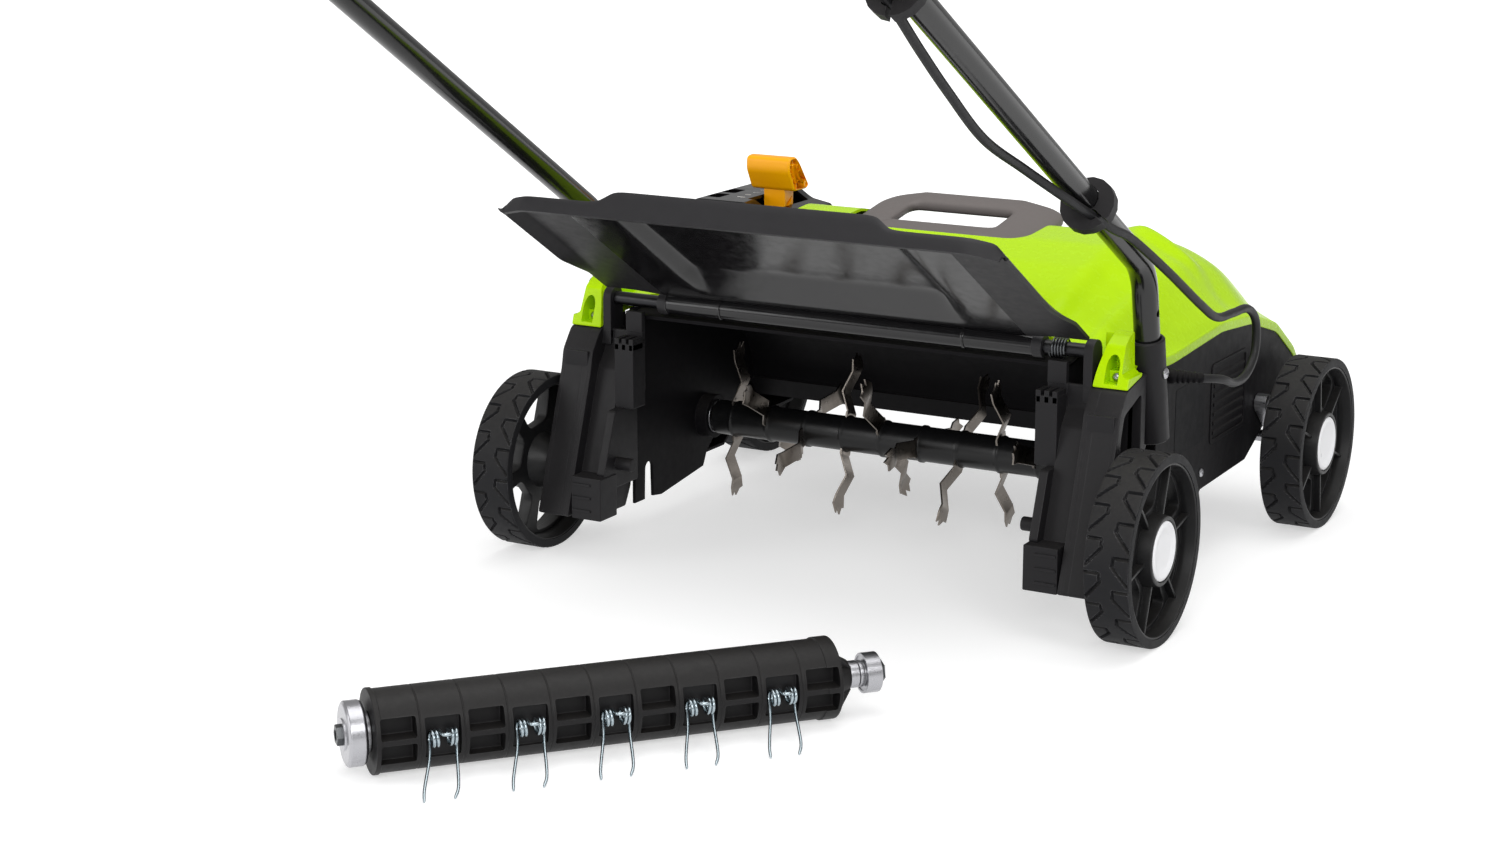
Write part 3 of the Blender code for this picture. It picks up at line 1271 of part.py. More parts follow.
CORD_JOIN = along_lower_tube(FOLD_Y + 0.0450, -0.0060, -CORD_OFFSET)
GLAND = Vector((HOUSING_OUTER_X, 0.1240, 0.1960))
CORD_ROUTE = [
    GLAND + Vector((0.0010, 0, 0)),
    (0.2700, 0.1242, 0.1960),
    (0.2906, 0.1334, 0.1950),
    (0.3000, 0.1560, 0.1905),
    (0.3005, 0.1830, 0.1822),
    (0.3005, 0.2120, 0.1830),
    (0.3005, 0.2335, 0.1985),
    (0.3005, 0.2335, 0.2265),
    (0.3000, 0.2120, 0.2420),
    (0.2988, 0.1780, 0.2440),
    (0.2975, 0.1430, 0.2465),
    (0.2960, 0.1062, 0.2640),
    (0.2890, 0.0445, 0.3020),
    along_lower_tube(-0.0080, 0.0168, -0.0045),
    along_lower_tube(-0.0360, 0.0136, -0.0100),
    clips[0][1],
    along_lower_tube(-0.1000, 0.0040, -0.0175),
    (0.2520, -0.1580, 0.4080),
    (0.2480, -0.2220, 0.4380),
    (0.2480, -0.2820, 0.4780),
    (0.2490, -0.3300, 0.5120),
    clips[1][1],
    CORD_JOIN - UP_SLOPE * 0.0140,
    CORD_JOIN,
]
CORD_FINISH = ("cord_rubber", (0.035, 0.035, 0.037), 0.55)
add_part("power_cord_lower", tube(smooth_route(CORD_ROUTE, 0.0270), CORD_RADIUS), CORD_FINISH)

box_gland = rise_point(0.2350, BOX_ALONG[0] - 0.0005, -0.008)
UPPER_CORD_ROUTE = [
    CORD_JOIN + UP_SLOPE * 0.0006,
    CORD_JOIN + UP_SLOPE * 0.0146,
    along_lower_tube(FOLD_Y - 0.0050, -0.0100, -CORD_OFFSET - 0.0080),
    FOLD + UP_SLOPE * 0.060 + Vector((-0.0020, 0, 0)) - RISE_NORMAL * 0.0200,
    FOLD + UP_SLOPE * 0.150 + Vector((0.0060, 0, 0)) - RISE_NORMAL * 0.0180,
    FOLD + UP_SLOPE * 0.270 + Vector((0.0040, 0, 0)) - RISE_NORMAL * 0.0190,
    FOLD + UP_SLOPE * 0.360 + Vector((-0.0080, 0, 0)) - RISE_NORMAL * 0.0120,
    box_gland - UP_RISE * 0.0200,
    box_gland,
]
add_part("power_cord_upper", tube(smooth_route(UPPER_CORD_ROUTE, 0.025), CORD_RADIUS), CORD_FINISH, FOLD_PIVOT)


# Tine roller

ROLLER_FRAME = Matrix.Translation(ROLLER_START + Vector((0, 0, FLANGE_RADIUS))) @ Matrix.Rotation(ROLLER_TURN, 4, "Z")
SHAFT_CORE = 0.0080
POCKET_PITCH = DRUM_LENGTH / POCKETS
POCKET_LENGTH = POCKET_PITCH - 0.006
SPRING_POCKETS = range(1, POCKETS, 2)
TINE_LEAN = -0.0140
ROLLER_REACH = 0.0720


def drum_mesh():
    """The roller's drum, its pockets towards -Y of its own frame."""
    bore = clear_bore(SHAFT_CORE, 16)
    cone_end = DRUM_LENGTH + 0.0140
    profile = [
        (0.0, bore),
        (0.0, FLANGE_RADIUS),
        (0.0040, FLANGE_RADIUS),
        (0.0040, DRUM_RADIUS),
        (DRUM_LENGTH - 0.012, DRUM_RADIUS),
        (DRUM_LENGTH - 0.012, FLANGE_RADIUS),
        (DRUM_LENGTH, FLANGE_RADIUS),
        (DRUM_LENGTH, 0.0200),
        (cone_end, 0.0120),
        (cone_end, bore),
    ]
    drum = turned(profile[::-1], 16, closed=True)
    spring_seat = max(p.y for p in tine_spring_points()) + TINE_WIRE + GAP
    boxes = []
    for i in range(POCKETS):
        low = POCKET_PITCH * i + (POCKET_PITCH - POCKET_LENGTH) / 2
        x = (low, low + POCKET_LENGTH)
        if i in SPRING_POCKETS:
            boxes.append((x, (-0.045, spring_seat), (-0.0150, 0.0150)))
        else:
            boxes.append((x, (-0.045, -0.0160), (0.0020, 0.0170)))
            boxes.append((x, (-0.045, -0.0160), (-0.0170, -0.0020)))
    return combined("drum", drum, cuts=[blocks(boxes)])


def roller_shaft_mesh():
    bearing_start = DRUM_LENGTH + 0.0260
    profile = [
        (-0.0235, 0.0),
        (-0.0235, 0.0080),
        (-0.0180, 0.0080),
        (-0.0180, 0.0240),
        (-0.0040, 0.0240),
        (-0.0040, 0.0150),
        (-GAP, 0.0150),
        (-GAP, SHAFT_CORE),
        (DRUM_LENGTH + 0.0145, SHAFT_CORE),
        (DRUM_LENGTH + 0.0145, 0.0105),
        (bearing_start - GAP, 0.0105),
        (bearing_start - GAP, 0.0070),
        (bearing_start + 0.0123, 0.0070),
        (bearing_start + 0.0123, 0.0095),
        (bearing_start + 0.0180, 0.0095),
        (bearing_start + 0.0180, 0.0),
    ]
    return turned(profile, 12)


def tine_spring_points():
    """A double spring: tip, leg, coil, bight, coil, leg, tip. Along X, with the legs towards -Y and down."""
    leg_end = Vector((0.0, -(ROLLER_REACH), -FLANGE_RADIUS + TINE_WIRE + 0.0002))
    centre = Vector((0.0, -0.0300, 0.0))
    heading = (leg_end - centre).normalized()
    start = math.atan2(heading.y, -heading.z)
    half = []
    lean = Vector((TINE_LEAN, 0, 0))
    inner, outer = 0.0030, 0.0100
    steps = 20
    sweep = 2 * math.pi * 2 + math.radians(150)
    coil = []
    for i in range(steps + 1):
        angle = start + sweep * i / steps
        x = -outer + (outer - inner) * i / steps
        coil.append(centre + Vector((x, TINE_COIL * math.cos(angle), TINE_COIL * math.sin(angle))))
    flow = coil[0] - coil[1]
    flow.x = 0.0
    knee = coil[0] + flow.normalized() * 0.012
    length = (leg_end - centre).length
    tip = Vector((-outer - 0.0010, leg_end.y, leg_end.z))
    middle = knee.lerp(tip, 0.72) + Vector((-0.0015, 0, 0))
    half = [tip + lean, middle + lean * 0.72, knee + lean * 0.15, *coil]
    ahead = coil[-1] - coil[-2]
    ahead.x = 0.0
    reach = coil[-1] + ahead.normalized() * length * 0.16
    half.append(reach)
    half.append(reach + ahead.normalized() * 0.0018 + Vector((0.0014, 0, 0)))
    other = [Vector((-p.x, p.y, p.z)) for p in reversed(half)]
    leaned = other[-3:]
    other[-3:] = [p + Vector((2 * TINE_LEAN * s, 0, 0)) for p, s in zip(leaned, (0.15, 0.72, 1.0))]
    return half + other


add_part("roller_drum", moved(drum_mesh(), ROLLER_FRAME), ("drum_black", (0.035, 0.035, 0.035), 0.7))
add_part("roller_shaft", moved(roller_shaft_mesh(), ROLLER_FRAME), STUB_FINISH)
roller_bearing = bearing_mesh(DRUM_LENGTH + 0.0260, 0.0120, 0.0155, clear_bore(0.0070, 16))
add_part("roller_bearing", moved(roller_bearing, ROLLER_FRAME), STUB_FINISH)
tine_points = tine_spring_points()
print("tine spring least gap to itself, mm:", round(least_gap(tine_points, TINE_WIRE, 5) * 1000, 3))
tine = tube(tine_points, TINE_WIRE, resolution=1)
for number, pocket in enumerate(SPRING_POCKETS):
    shift = Matrix.Translation((POCKET_PITCH * (pocket + 0.5), 0, 0))
    add_part(f"tine_spring_{number + 1}", moved(tine, ROLLER_FRAME @ shift), SPRING_FINISH)


# The machine moves so that the middle of its bounding box stands over the origin

REAR_Y = GRIP.y - TUBE_RADIUS
FRONT_Y = WHEELBASE + WHEEL_RADIUS
ORIGIN.location = (0.0, -(REAR_Y + FRONT_Y) / 2, 0.0)
bpy.context.view_layer.update()
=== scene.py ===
"""Dressed scene of an electric lawn scarifier with its spare tine roller lying beside it.

The solids of the frame stay where they are. Their visible surfaces are replaced by denser pieces with rounded
edges, and every surface gets a procedural finish. Lengths are in metres, and the pieces are drawn in the
machine's own frame, whose origin is on the ground under the rear axle, then shifted into the shared frame.
"""

import logging
import math
from dataclasses import dataclass
from enum import Enum
from typing import Sequence

import bmesh
import bpy
import numpy as np
from mathutils import Matrix, Vector
from mathutils.geometry import tessellate_polygon


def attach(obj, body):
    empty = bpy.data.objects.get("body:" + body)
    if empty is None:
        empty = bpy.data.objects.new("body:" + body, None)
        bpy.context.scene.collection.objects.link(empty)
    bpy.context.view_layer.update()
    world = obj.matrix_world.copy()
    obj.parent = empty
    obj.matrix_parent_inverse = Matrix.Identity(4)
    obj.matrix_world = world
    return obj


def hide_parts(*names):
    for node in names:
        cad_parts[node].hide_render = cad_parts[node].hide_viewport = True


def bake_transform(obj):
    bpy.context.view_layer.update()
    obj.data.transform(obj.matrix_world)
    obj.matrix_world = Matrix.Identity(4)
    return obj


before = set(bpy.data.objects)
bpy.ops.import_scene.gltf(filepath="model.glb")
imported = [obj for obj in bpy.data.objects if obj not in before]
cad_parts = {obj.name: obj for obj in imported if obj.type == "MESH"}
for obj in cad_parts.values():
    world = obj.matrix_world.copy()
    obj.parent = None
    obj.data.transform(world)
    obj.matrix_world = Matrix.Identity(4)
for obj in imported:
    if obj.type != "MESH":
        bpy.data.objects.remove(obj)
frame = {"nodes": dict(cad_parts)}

LOG = logging.getLogger("scarifier")
SHIFT = np.array((0.0, 0.225441113, 0.0))

Mesh = bpy.types.Mesh
Object = bpy.types.Object
Loop = Sequence[tuple[float, float]]

# Wheels
WHEEL_RADIUS = 0.08
CAP_THICKNESS = 0.0049
TREAD_TURN = {"rear": math.radians(11.0), "front": math.radians(37.0)}
WHEEL_WIDTH = 0.0386
WHEEL_FACE_X = 0.3143
WHEELBASE = 0.41
HUB_RADIUS = 0.029
CAP_RADIUS = 0.025
TREAD_BLOCKS = 18
SPOKES = 6
TREAD_INNER = 0.0725
TREAD_DEPTH = 0.0026
GROOVE_HALF_WIDTH = 0.0006
GROOVE_SLOPE = 0.0008

# Legs and sockets
LEG_INNER_X = 0.2376
LEG_OUTER_X = 0.2696
SOCKET_TOP = np.array((0.26525, 0.068, 0.239))
SOCKET_LEAN = math.radians(11.5)
SOCKET_LENGTH = 0.091
SOCKET_RADIUS = 0.0149

# Tunnel, housings and cover
TUNNEL_HALF_WIDTH = 0.2095
DECK_OUTER_X = 0.213
HOUSING_OUTER_X = 0.262
COVER_WALL = 0.0025
COVER_SPAN = (0.045, 0.474)
COVER_GRID = (171, 121)
COVER_BULGE = 0.022
SHOULDER_DROP = 0.0042
SHOULDER_X = (0.184, 0.218)
SHOULDER_Y = (0.05, 0.175)
QUADRANT_WINDOWS = (
    ((-0.197, -0.172), (0.211, 0.288)),
    ((-0.24, -0.224), (0.205, 0.227)),
    ((-0.24, -0.224), (0.235, 0.257)),
)
ROTOR_Y = 0.155
ROTOR_Z = 0.099
BLADES = 10
BLADE_START = -0.175
BLADE_STEP = 0.039
BLADE_STAGGER = math.radians(54.0)
BLADE_EYE_RIMS = ((0.0092, 0.026), (-0.026, -0.0092))
ROTOR_RADIUS = 0.016
ROOF = (
    (0.0295, 0.215),
    (0.04, 0.2165),
    (0.06, 0.2195),
    (0.1, 0.218),
    (0.15, 0.208),
    (0.195, 0.19),
    (0.228, 0.165),
    (0.243, 0.14),
    (0.2455, 0.116),
)
LIP = (
    (0.045, 0.2175),
    (0.075, 0.216),
    (0.104, 0.2135),
    (0.137, 0.2125),
    (0.254, 0.2185),
    (0.33, 0.212),
    (0.4, 0.192),
    (0.455, 0.158),
    (0.474, 0.13),
)
CREST = (
    (0.045, 0.2385),
    (0.1, 0.262),
    (0.15, 0.277),
    (0.2, 0.288),
    (0.25, 0.292),
    (0.28, 0.286),
    (0.3005, 0.264),
    (0.35, 0.245),
    (0.4, 0.224),
    (0.45, 0.188),
    (0.474, 0.148),
)
SHOULDER = ((0.0, 0.0), (0.175, 0.0), (0.222, 0.34), (0.246, 0.76), (HOUSING_OUTER_X, 1.0))

# Flap
HINGE = np.array((0.0, 0.031, 0.231))
FLAP_ANGLE = math.radians(32.0)
FLAP_ALONG = np.array((0.0, -math.cos(FLAP_ANGLE), math.sin(FLAP_ANGLE)))
FLAP_OUT = np.array((0.0, math.sin(FLAP_ANGLE), math.cos(FLAP_ANGLE)))
FLAP_LENGTH = 0.214
FLAP_EDGE = 0.2335
FLAP_WALL = 0.003
PANEL_RISE = 0.011
MATTE_BEYOND = 0.176
MATTE_EDGE = 0.0045

# Handle
TUBE_RADIUS = 0.011
TUBE_WALL = 0.0012
PLUG_DEPTH = 0.0018
TUBE_SLOPE = math.radians(31.5)
TUBE_X = 0.2639
TUBE_SPLAY = 0.0242
TUBE_Z = 0.3339
TUBE_OVERHANG = 0.018
TUBE_OUT = np.array((0.0, math.sin(TUBE_SLOPE), math.cos(TUBE_SLOPE)))
BOLT_HOLE = 0.0033
BUTTON_PLACE = (0.235, 0.125, 0.0)
BOX_FACE = 0.026
RISE_SLOPE = math.radians(48.0)
FOLD_Y = -0.455
BAIL_LEAN = math.radians(28.0)
UP_SLOPE = np.array((0.0, -math.cos(TUBE_SLOPE), math.sin(TUBE_SLOPE)))
UP_RISE = np.array((0.0, -math.cos(RISE_SLOPE), math.sin(RISE_SLOPE)))
RISE_NORMAL = np.array((0.0, math.sin(RISE_SLOPE), math.cos(RISE_SLOPE)))

# Power lead
CORD_RADIUS = 0.00375
GLAND = np.array((HOUSING_OUTER_X, 0.124, 0.196))
LOWER_CLIP = (-0.062, 0.0093, -0.013)
UPPER_CLIP = (-0.372, -0.0045, -0.0154)

# Tine roller
ROLLER_START = np.array((-0.0718, -0.5528, 0.0315))
ROLLER_TURN = math.radians(49.47)
DRUM_LENGTH = 0.353
DRUM_RADIUS = 0.0305
FLANGE_RADIUS = 0.0315
POCKETS = 11
POCKET_PITCH = DRUM_LENGTH / POCKETS
TINE_WIRE = 0.0012
TINE_COIL = 0.0055


class Finish(Enum):
    """The record's material slots, each with one finish."""

    LIME = "lime_gloss"
    BLACK = "body_black"
    LEG = "leg_grey"
    FLAP = "flap_black"
    GRIP = "soft_grip_grey"
    TREAD = "tread_grey"
    CAP = "hub_cap_white"
    LEVER = "lever_yellow"
    BUTTON = "button_red"
    TUBE = "tube_gloss_black"
    AXLE = "axle_steel"
    BLADE = "blade_steel"
    ROTOR = "rotor_black"
    SPRING = "spring_zinc"
    MOTOR = "motor_steel"
    PULLEY = "pulley_alloy"
    BELT = "belt_rubber"
    CORD = "cord_rubber"
    DRUM = "drum_black"


@dataclass(frozen=True)
class Recipe:
    """What a finish is made of.

    Attributes:
        colour: Base colour, sRGB from 0 to 255.
        roughness: Mean roughness.
        metallic: 1 for bare metal.
        coat: Weight of a clear coat.
        specular: Specular level of the shader.
        grain: Fine grain cells per metre.
        bump: Height of the grain in metres.
        variation: Share by which the tone drifts over the surface.
        worn: Colour of rubbed edges, sRGB.
        wear: How far edges are rubbed, 0 to 1.
        dust: How much dust lies on upward faces, 0 to 1.
        brushed: Stretch of the grain along each axis, for brushed metal.
    """

    colour: tuple[int, int, int]
    roughness: float
    metallic: float = 0.0
    coat: float = 0.0
    specular: float = 0.5
    grain: float = 1400.0
    bump: float = 0.00004
    variation: float = 0.1
    worn: tuple[int, int, int] = (120, 120, 122)
    wear: float = 0.25
    dust: float = 0.04
    brushed: tuple[float, float, float] = (1.0, 1.0, 1.0)


RECIPES: dict[Finish, Recipe] = {
    Finish.LIME: Recipe(
        (180, 224, 0), 0.26, specular=0.13, grain=700, bump=0.000006, variation=0.03, worn=(196, 232, 70),
        wear=0.12, dust=0.0
    ),
    Finish.BLACK: Recipe(
        (20, 19, 21), 0.52, specular=0.07, grain=1500, bump=0.00003, worn=(82, 82, 85), dust=0.02
    ),
    Finish.LEG: Recipe((30, 29, 31), 0.48, specular=0.22, bump=0.00005, worn=(92, 92, 94), dust=0.02),
    Finish.FLAP: Recipe(
        (19, 18, 20), 0.17, grain=900, bump=0.000008, variation=0.08, worn=(66, 66, 68), dust=0.0
    ),
    Finish.GRIP: Recipe(
        (104, 98, 96), 0.5, specular=0.32, grain=1800, bump=0.00007, worn=(140, 135, 132), wear=0.3, dust=0.02
    ),
    Finish.TREAD: Recipe(
        (30, 30, 32), 0.6, specular=0.16, grain=1100, bump=0.00007, worn=(122, 122, 124), wear=0.55
    ),
    Finish.CAP: Recipe(
        (249, 249, 251), 0.32, grain=900, bump=0.00001, variation=0.02, worn=(245, 245, 245), dust=0.0
    ),
    Finish.LEVER: Recipe(
        (255, 172, 0), 0.34, specular=0.35, grain=1300, bump=0.00002, variation=0.04, worn=(255, 214, 90),
        dust=0.0
    ),
    Finish.BUTTON: Recipe((190, 24, 16), 0.36, grain=1300, bump=0.00002, worn=(226, 96, 84)),
    Finish.TUBE: Recipe(
        (20, 20, 21), 0.2, specular=0.42, coat=0.2, grain=1100, bump=0.000008, worn=(96, 96, 98), wear=0.1,
        dust=0.01
    ),
    Finish.AXLE: Recipe(
        (176, 176, 180), 0.3, metallic=1.0, bump=0.00002, worn=(216, 216, 218), brushed=(1, 9, 9)
    ),
    Finish.BLADE: Recipe(
        (128, 121, 114), 0.3, metallic=1.0, grain=1000, bump=0.00003, variation=0.2, worn=(222, 216, 210),
        wear=0.6, dust=0.0, brushed=(9, 1, 1)
    ),
    Finish.ROTOR: Recipe(
        (17, 17, 18), 0.32, specular=0.36, grain=1000, bump=0.00003, worn=(86, 84, 82), wear=0.35, dust=0.0
    ),
    Finish.SPRING: Recipe((168, 180, 186), 0.24, metallic=1.0, grain=2400, bump=0.00001, worn=(226, 234, 238)),
    Finish.MOTOR: Recipe((130, 130, 133), 0.42, metallic=1.0, brushed=(9, 1, 1)),
    Finish.PULLEY: Recipe((170, 171, 174), 0.4, metallic=1.0, brushed=(9, 1, 1)),
    Finish.BELT: Recipe((28, 28, 28), 0.75, specular=0.2, grain=2200, bump=0.00008, worn=(66, 66, 66)),
    Finish.CORD: Recipe((24, 24, 26), 0.46, specular=0.28, grain=2600, worn=(70, 70, 72), wear=0.1, dust=0.02),
    Finish.DRUM: Recipe(
        (22, 21, 22), 0.5, specular=0.24, grain=1300, bump=0.00005, worn=(84, 84, 84), wear=0.35, dust=0.02
    ),
}

DARK_STEEL = Recipe((84, 86, 88), 0.34, metallic=1.0, grain=2400, bump=0.00001, worn=(130, 132, 134))

# Looks of pieces that differ from their slot's finish.
VARIANTS: dict[str, Recipe] = {
    "wheel_rim": Recipe(
        (25, 25, 26), 0.42, specular=0.28, grain=1300, bump=0.00003, worn=(84, 84, 86), wear=0.4, dust=0.02
    ),
    "flap_matte": Recipe(
        (36, 35, 37), 0.46, specular=0.3, grain=1500, bump=0.00003, worn=(86, 86, 88), wear=0.35, dust=0.0
    ),
    "end_plug": Recipe((15, 15, 16), 0.5, specular=0.22, grain=1300, bump=0.00003, worn=(50, 50, 50), wear=0.2),
    "dark_coil": DARK_STEEL,
    "dark_steel": DARK_STEEL,
    "blackened_pin": Recipe(
        (52, 52, 54), 0.34, metallic=1.0, grain=1500, bump=0.00002, worn=(120, 120, 122), brushed=(1, 9, 9)
    ),
    "blank_plate": Recipe(
        (21, 21, 23), 0.5, specular=0.05, grain=700, bump=0.000006, worn=(60, 60, 62), dust=0.0
    ),
    "quadrant_gloss": Recipe(
        (12, 11, 12), 0.18, specular=0.32, grain=900, bump=0.000006, worn=(60, 60, 62), dust=0.0
    ),
    "tick_marks": Recipe((210, 210, 208), 0.5, grain=900, bump=0.00001),
}
DUST_COLOUR = (168, 162, 150)
COAT_ROUGHNESS = 0.08
EDGE_REACH = 0.0011
SHARP_ANGLE = math.radians(38.0)
NORMAL_WEIGHT = 60


def linear(colour: Sequence[int]) -> tuple[float, float, float, float]:
    """Turns an sRGB colour into the shader's linear one.

    Args:
        colour: Three values from 0 to 255.

    Returns:
        Linear red, green and blue with an alpha of 1.
    """
    made = []
    for value in colour:
        share = value / 255.0
        made.append(share / 12.92 if share <= 0.04045 else ((share + 0.055) / 1.055) ** 2.4)
    return (*made, 1.0)


def feed(node: bpy.types.Node, *values, **named) -> bpy.types.Node:
    """Sets or links the inputs of a shader node.

    Args:
        node: The node.
        values: For its first inputs in turn, a value, an output to link, or None to leave it.
        named: The same for inputs by name, with _ for a space.

    Returns:
        The node.
    """
    inputs = [*zip(node.inputs, values)]
    inputs += [(node.inputs[label.replace("_", " ")], value) for label, value in named.items()]
    for socket, value in inputs:
        if isinstance(value, bpy.types.NodeSocket):
            node.id_data.links.new(value, socket)
        elif value is not None:
            socket.default_value = value
    return node


def added(tree: bpy.types.NodeTree, kind: str, settings: dict, *values, **named) -> bpy.types.Node:
    """Adds a shader node.

    Args:
        tree: Where it goes.
        kind: Its type, without ShaderNode.
        settings: Its own settings.
        values: See feed().
        named: See feed().

    Returns:
        The node.
    """
    node = tree.nodes.new(f"ShaderNode{kind}")
    for label, value in settings.items():
        setattr(node, label, value)
    return feed(node, *values, **named)


def maths(tree: bpy.types.NodeTree, operation: str, *values) -> bpy.types.NodeSocket:
    """Adds a Math node and gives its result."""
    return added(tree, "Math", {"operation": operation}, *values).outputs[0]


def noise(
    tree: bpy.types.NodeTree, vector, scale, detail: float, roughness: float = 0.55
) -> bpy.types.NodeSocket:
    """Adds a Noise Texture and gives its value."""
    return added(
        tree, "TexNoise", {}, Vector=vector, Scale=scale, Detail=detail, Roughness=roughness
    ).outputs["Fac"]


class Paint:
    """Makes the procedural materials out of three shared node groups."""

    def __init__(self) -> None:
        self.grain = self._grain_group()
        self.wear = self._wear_group()
        self.dust = self._dust_group()
        self.made: dict[str, bpy.types.Material] = {}

    @staticmethod
    def _group(name: str, inputs: Sequence[str], outputs: Sequence[str]) -> bpy.types.NodeTree:
        """Starts a shared node group with its sockets."""
        tree = bpy.data.node_groups.new(name, "ShaderNodeTree")
        for way, labels in (("INPUT", inputs), ("OUTPUT", outputs)):
            for label in labels:
                kind = "NodeSocketVector" if label in ("Vector", "Normal") else "NodeSocketFloat"
                tree.interface.new_socket(label, in_out=way, socket_type=kind)
        tree.nodes.new("NodeGroupInput").name = "in"
        tree.nodes.new("NodeGroupOutput").name = "out"
        return tree

    def _grain_group(self) -> bpy.types.NodeTree:
        """Tone, gloss and bump: broad drift, mid mottling and fine moulded grain."""
        tree = self._group(
            "surface_grain", ("Vector", "Scale", "Variation", "Height"), ("Tone", "Gloss", "Normal")
        )
        given = tree.nodes["in"].outputs
        vector, scale = given["Vector"], given["Scale"]
        broad, mottled = noise(tree, vector, 9.0, 3.0), noise(tree, vector, 120.0, 4.0)
        fine = noise(tree, vector, scale, 2.0, 0.65)
        cells = added(
            tree, "TexVoronoi", {"feature": "SMOOTH_F1"}, Vector=vector, Scale=scale
        ).outputs["Distance"]
        drift = maths(tree, "ADD", maths(tree, "MULTIPLY", broad, 0.6), maths(tree, "MULTIPLY", mottled, 0.4))
        swing = maths(tree, "MULTIPLY", maths(tree, "SUBTRACT", drift, 0.5), 2.0)
        tone = maths(tree, "MULTIPLY_ADD", swing, given["Variation"], 1.0)
        gloss = maths(tree, "MULTIPLY", maths(tree, "SUBTRACT", mottled, 0.5), 0.22)
        relief = maths(tree, "ADD", maths(tree, "MULTIPLY", fine, 0.6), maths(tree, "MULTIPLY", cells, 0.7))
        bump = added(tree, "Bump", {}, Height=relief, Distance=given["Height"])
        feed(tree.nodes["out"], Tone=tone, Gloss=gloss, Normal=bump.outputs["Normal"])
        return tree

    def _wear_group(self) -> bpy.types.NodeTree:
        """A mask of rubbed edges: where a rounded normal departs from the face's own, broken up by noise."""
        tree = self._group("edge_wear", ("Vector", "Amount"), ("Mask",))
        given = tree.nodes["in"].outputs
        rounded_normal = added(tree, "Bevel", {"samples": 3}, Radius=EDGE_REACH).outputs["Normal"]
        own = added(tree, "NewGeometry", {}).outputs["Normal"]
        dot = added(tree, "VectorMath", {"operation": "DOT_PRODUCT"}, rounded_normal, own).outputs["Value"]
        edge = maths(tree, "SUBTRACT", 1.0, dot)
        sharp = added(tree, "MapRange", {}, Value=edge, From_Min=0.02, From_Max=0.22).outputs["Result"]
        patches = noise(tree, given["Vector"], 60.0, 4.0, 0.7)
        worn = added(tree, "MapRange", {}, Value=patches, From_Min=0.42, From_Max=0.62).outputs["Result"]
        mask = maths(tree, "MULTIPLY", maths(tree, "MULTIPLY", sharp, worn), given["Amount"])
        feed(tree.nodes["out"], Mask=mask)
        return tree

    def _dust_group(self) -> bpy.types.NodeTree:
        """A mask of settled dust on faces that look up."""
        tree = self._group("settled_dust", ("Vector", "Amount"), ("Mask",))
        given = tree.nodes["in"].outputs
        normal = added(tree, "NewGeometry", {}).outputs["Normal"]
        up = maths(tree, "MAXIMUM", added(tree, "SeparateXYZ", {}, normal).outputs["Z"], 0.0)
        specks = noise(tree, given["Vector"], 260.0, 5.0, 0.75)
        mask = maths(tree, "MULTIPLY", maths(tree, "MULTIPLY", up, specks), given["Amount"])
        feed(tree.nodes["out"], Mask=maths(tree, "MULTIPLY", mask, 2.0))
        return tree

    def material(self, look: str) -> bpy.types.Material:
        """Gives the material of a look, made once.

        Args:
            look: A finish's slot or the name of a variant.

        Returns:
            The material.
        """
        if look in self.made:
            return self.made[look]
        recipe = VARIANTS[look] if look in VARIANTS else RECIPES[Finish(look)]
        made = bpy.data.materials.new(f"dressed_{look}")
        made.use_nodes = True
        tree = made.node_tree
        place = added(tree, "TexCoord", {}).outputs["Object"]
        vector = added(tree, "Mapping", {}, Vector=place, Scale=recipe.brushed).outputs["Vector"]
        grain = self._use(
            tree, self.grain, vector, Scale=recipe.grain, Variation=recipe.variation, Height=recipe.bump
        )
        wear = self._use(tree, self.wear, place, Amount=recipe.wear)["Mask"]
        dust = self._use(tree, self.dust, place, Amount=recipe.dust)["Mask"]
        toned = added(
            tree, "VectorMath", {"operation": "SCALE"}, linear(recipe.colour)[:3], Scale=grain["Tone"]
        )
        rubbed = self._mix(tree, wear, toned.outputs["Vector"], linear(recipe.worn))
        rough = maths(tree, "ADD", grain["Gloss"], recipe.roughness)
        feed(
            tree.nodes["Principled BSDF"],
            Base_Color=self._mix(tree, dust, rubbed, linear(DUST_COLOUR)),
            Metallic=recipe.metallic,
            Roughness=maths(tree, "MULTIPLY_ADD", dust, 0.4, rough),
            Normal=grain["Normal"],
            Specular_IOR_Level=recipe.specular,
            Coat_Weight=recipe.coat,
            Coat_Roughness=COAT_ROUGHNESS,
        )
        made.diffuse_color = linear(recipe.colour)
        self.made[look] = made
        return made

    @staticmethod
    def _use(tree: bpy.types.NodeTree, group: bpy.types.NodeTree, vector, **values: float):
        """Adds a shared group and gives its outputs."""
        return added(tree, "Group", {"node_tree": group}, Vector=vector, **values).outputs

    @staticmethod
    def _mix(tree: bpy.types.NodeTree, factor, first, second) -> bpy.types.NodeSocket:
        """Mixes two colours, which are a Mix node's seventh and eighth inputs."""
        return added(tree, "Mix", {"data_type": "RGBA"}, factor, *[None] * 5, first, second).outputs[2]


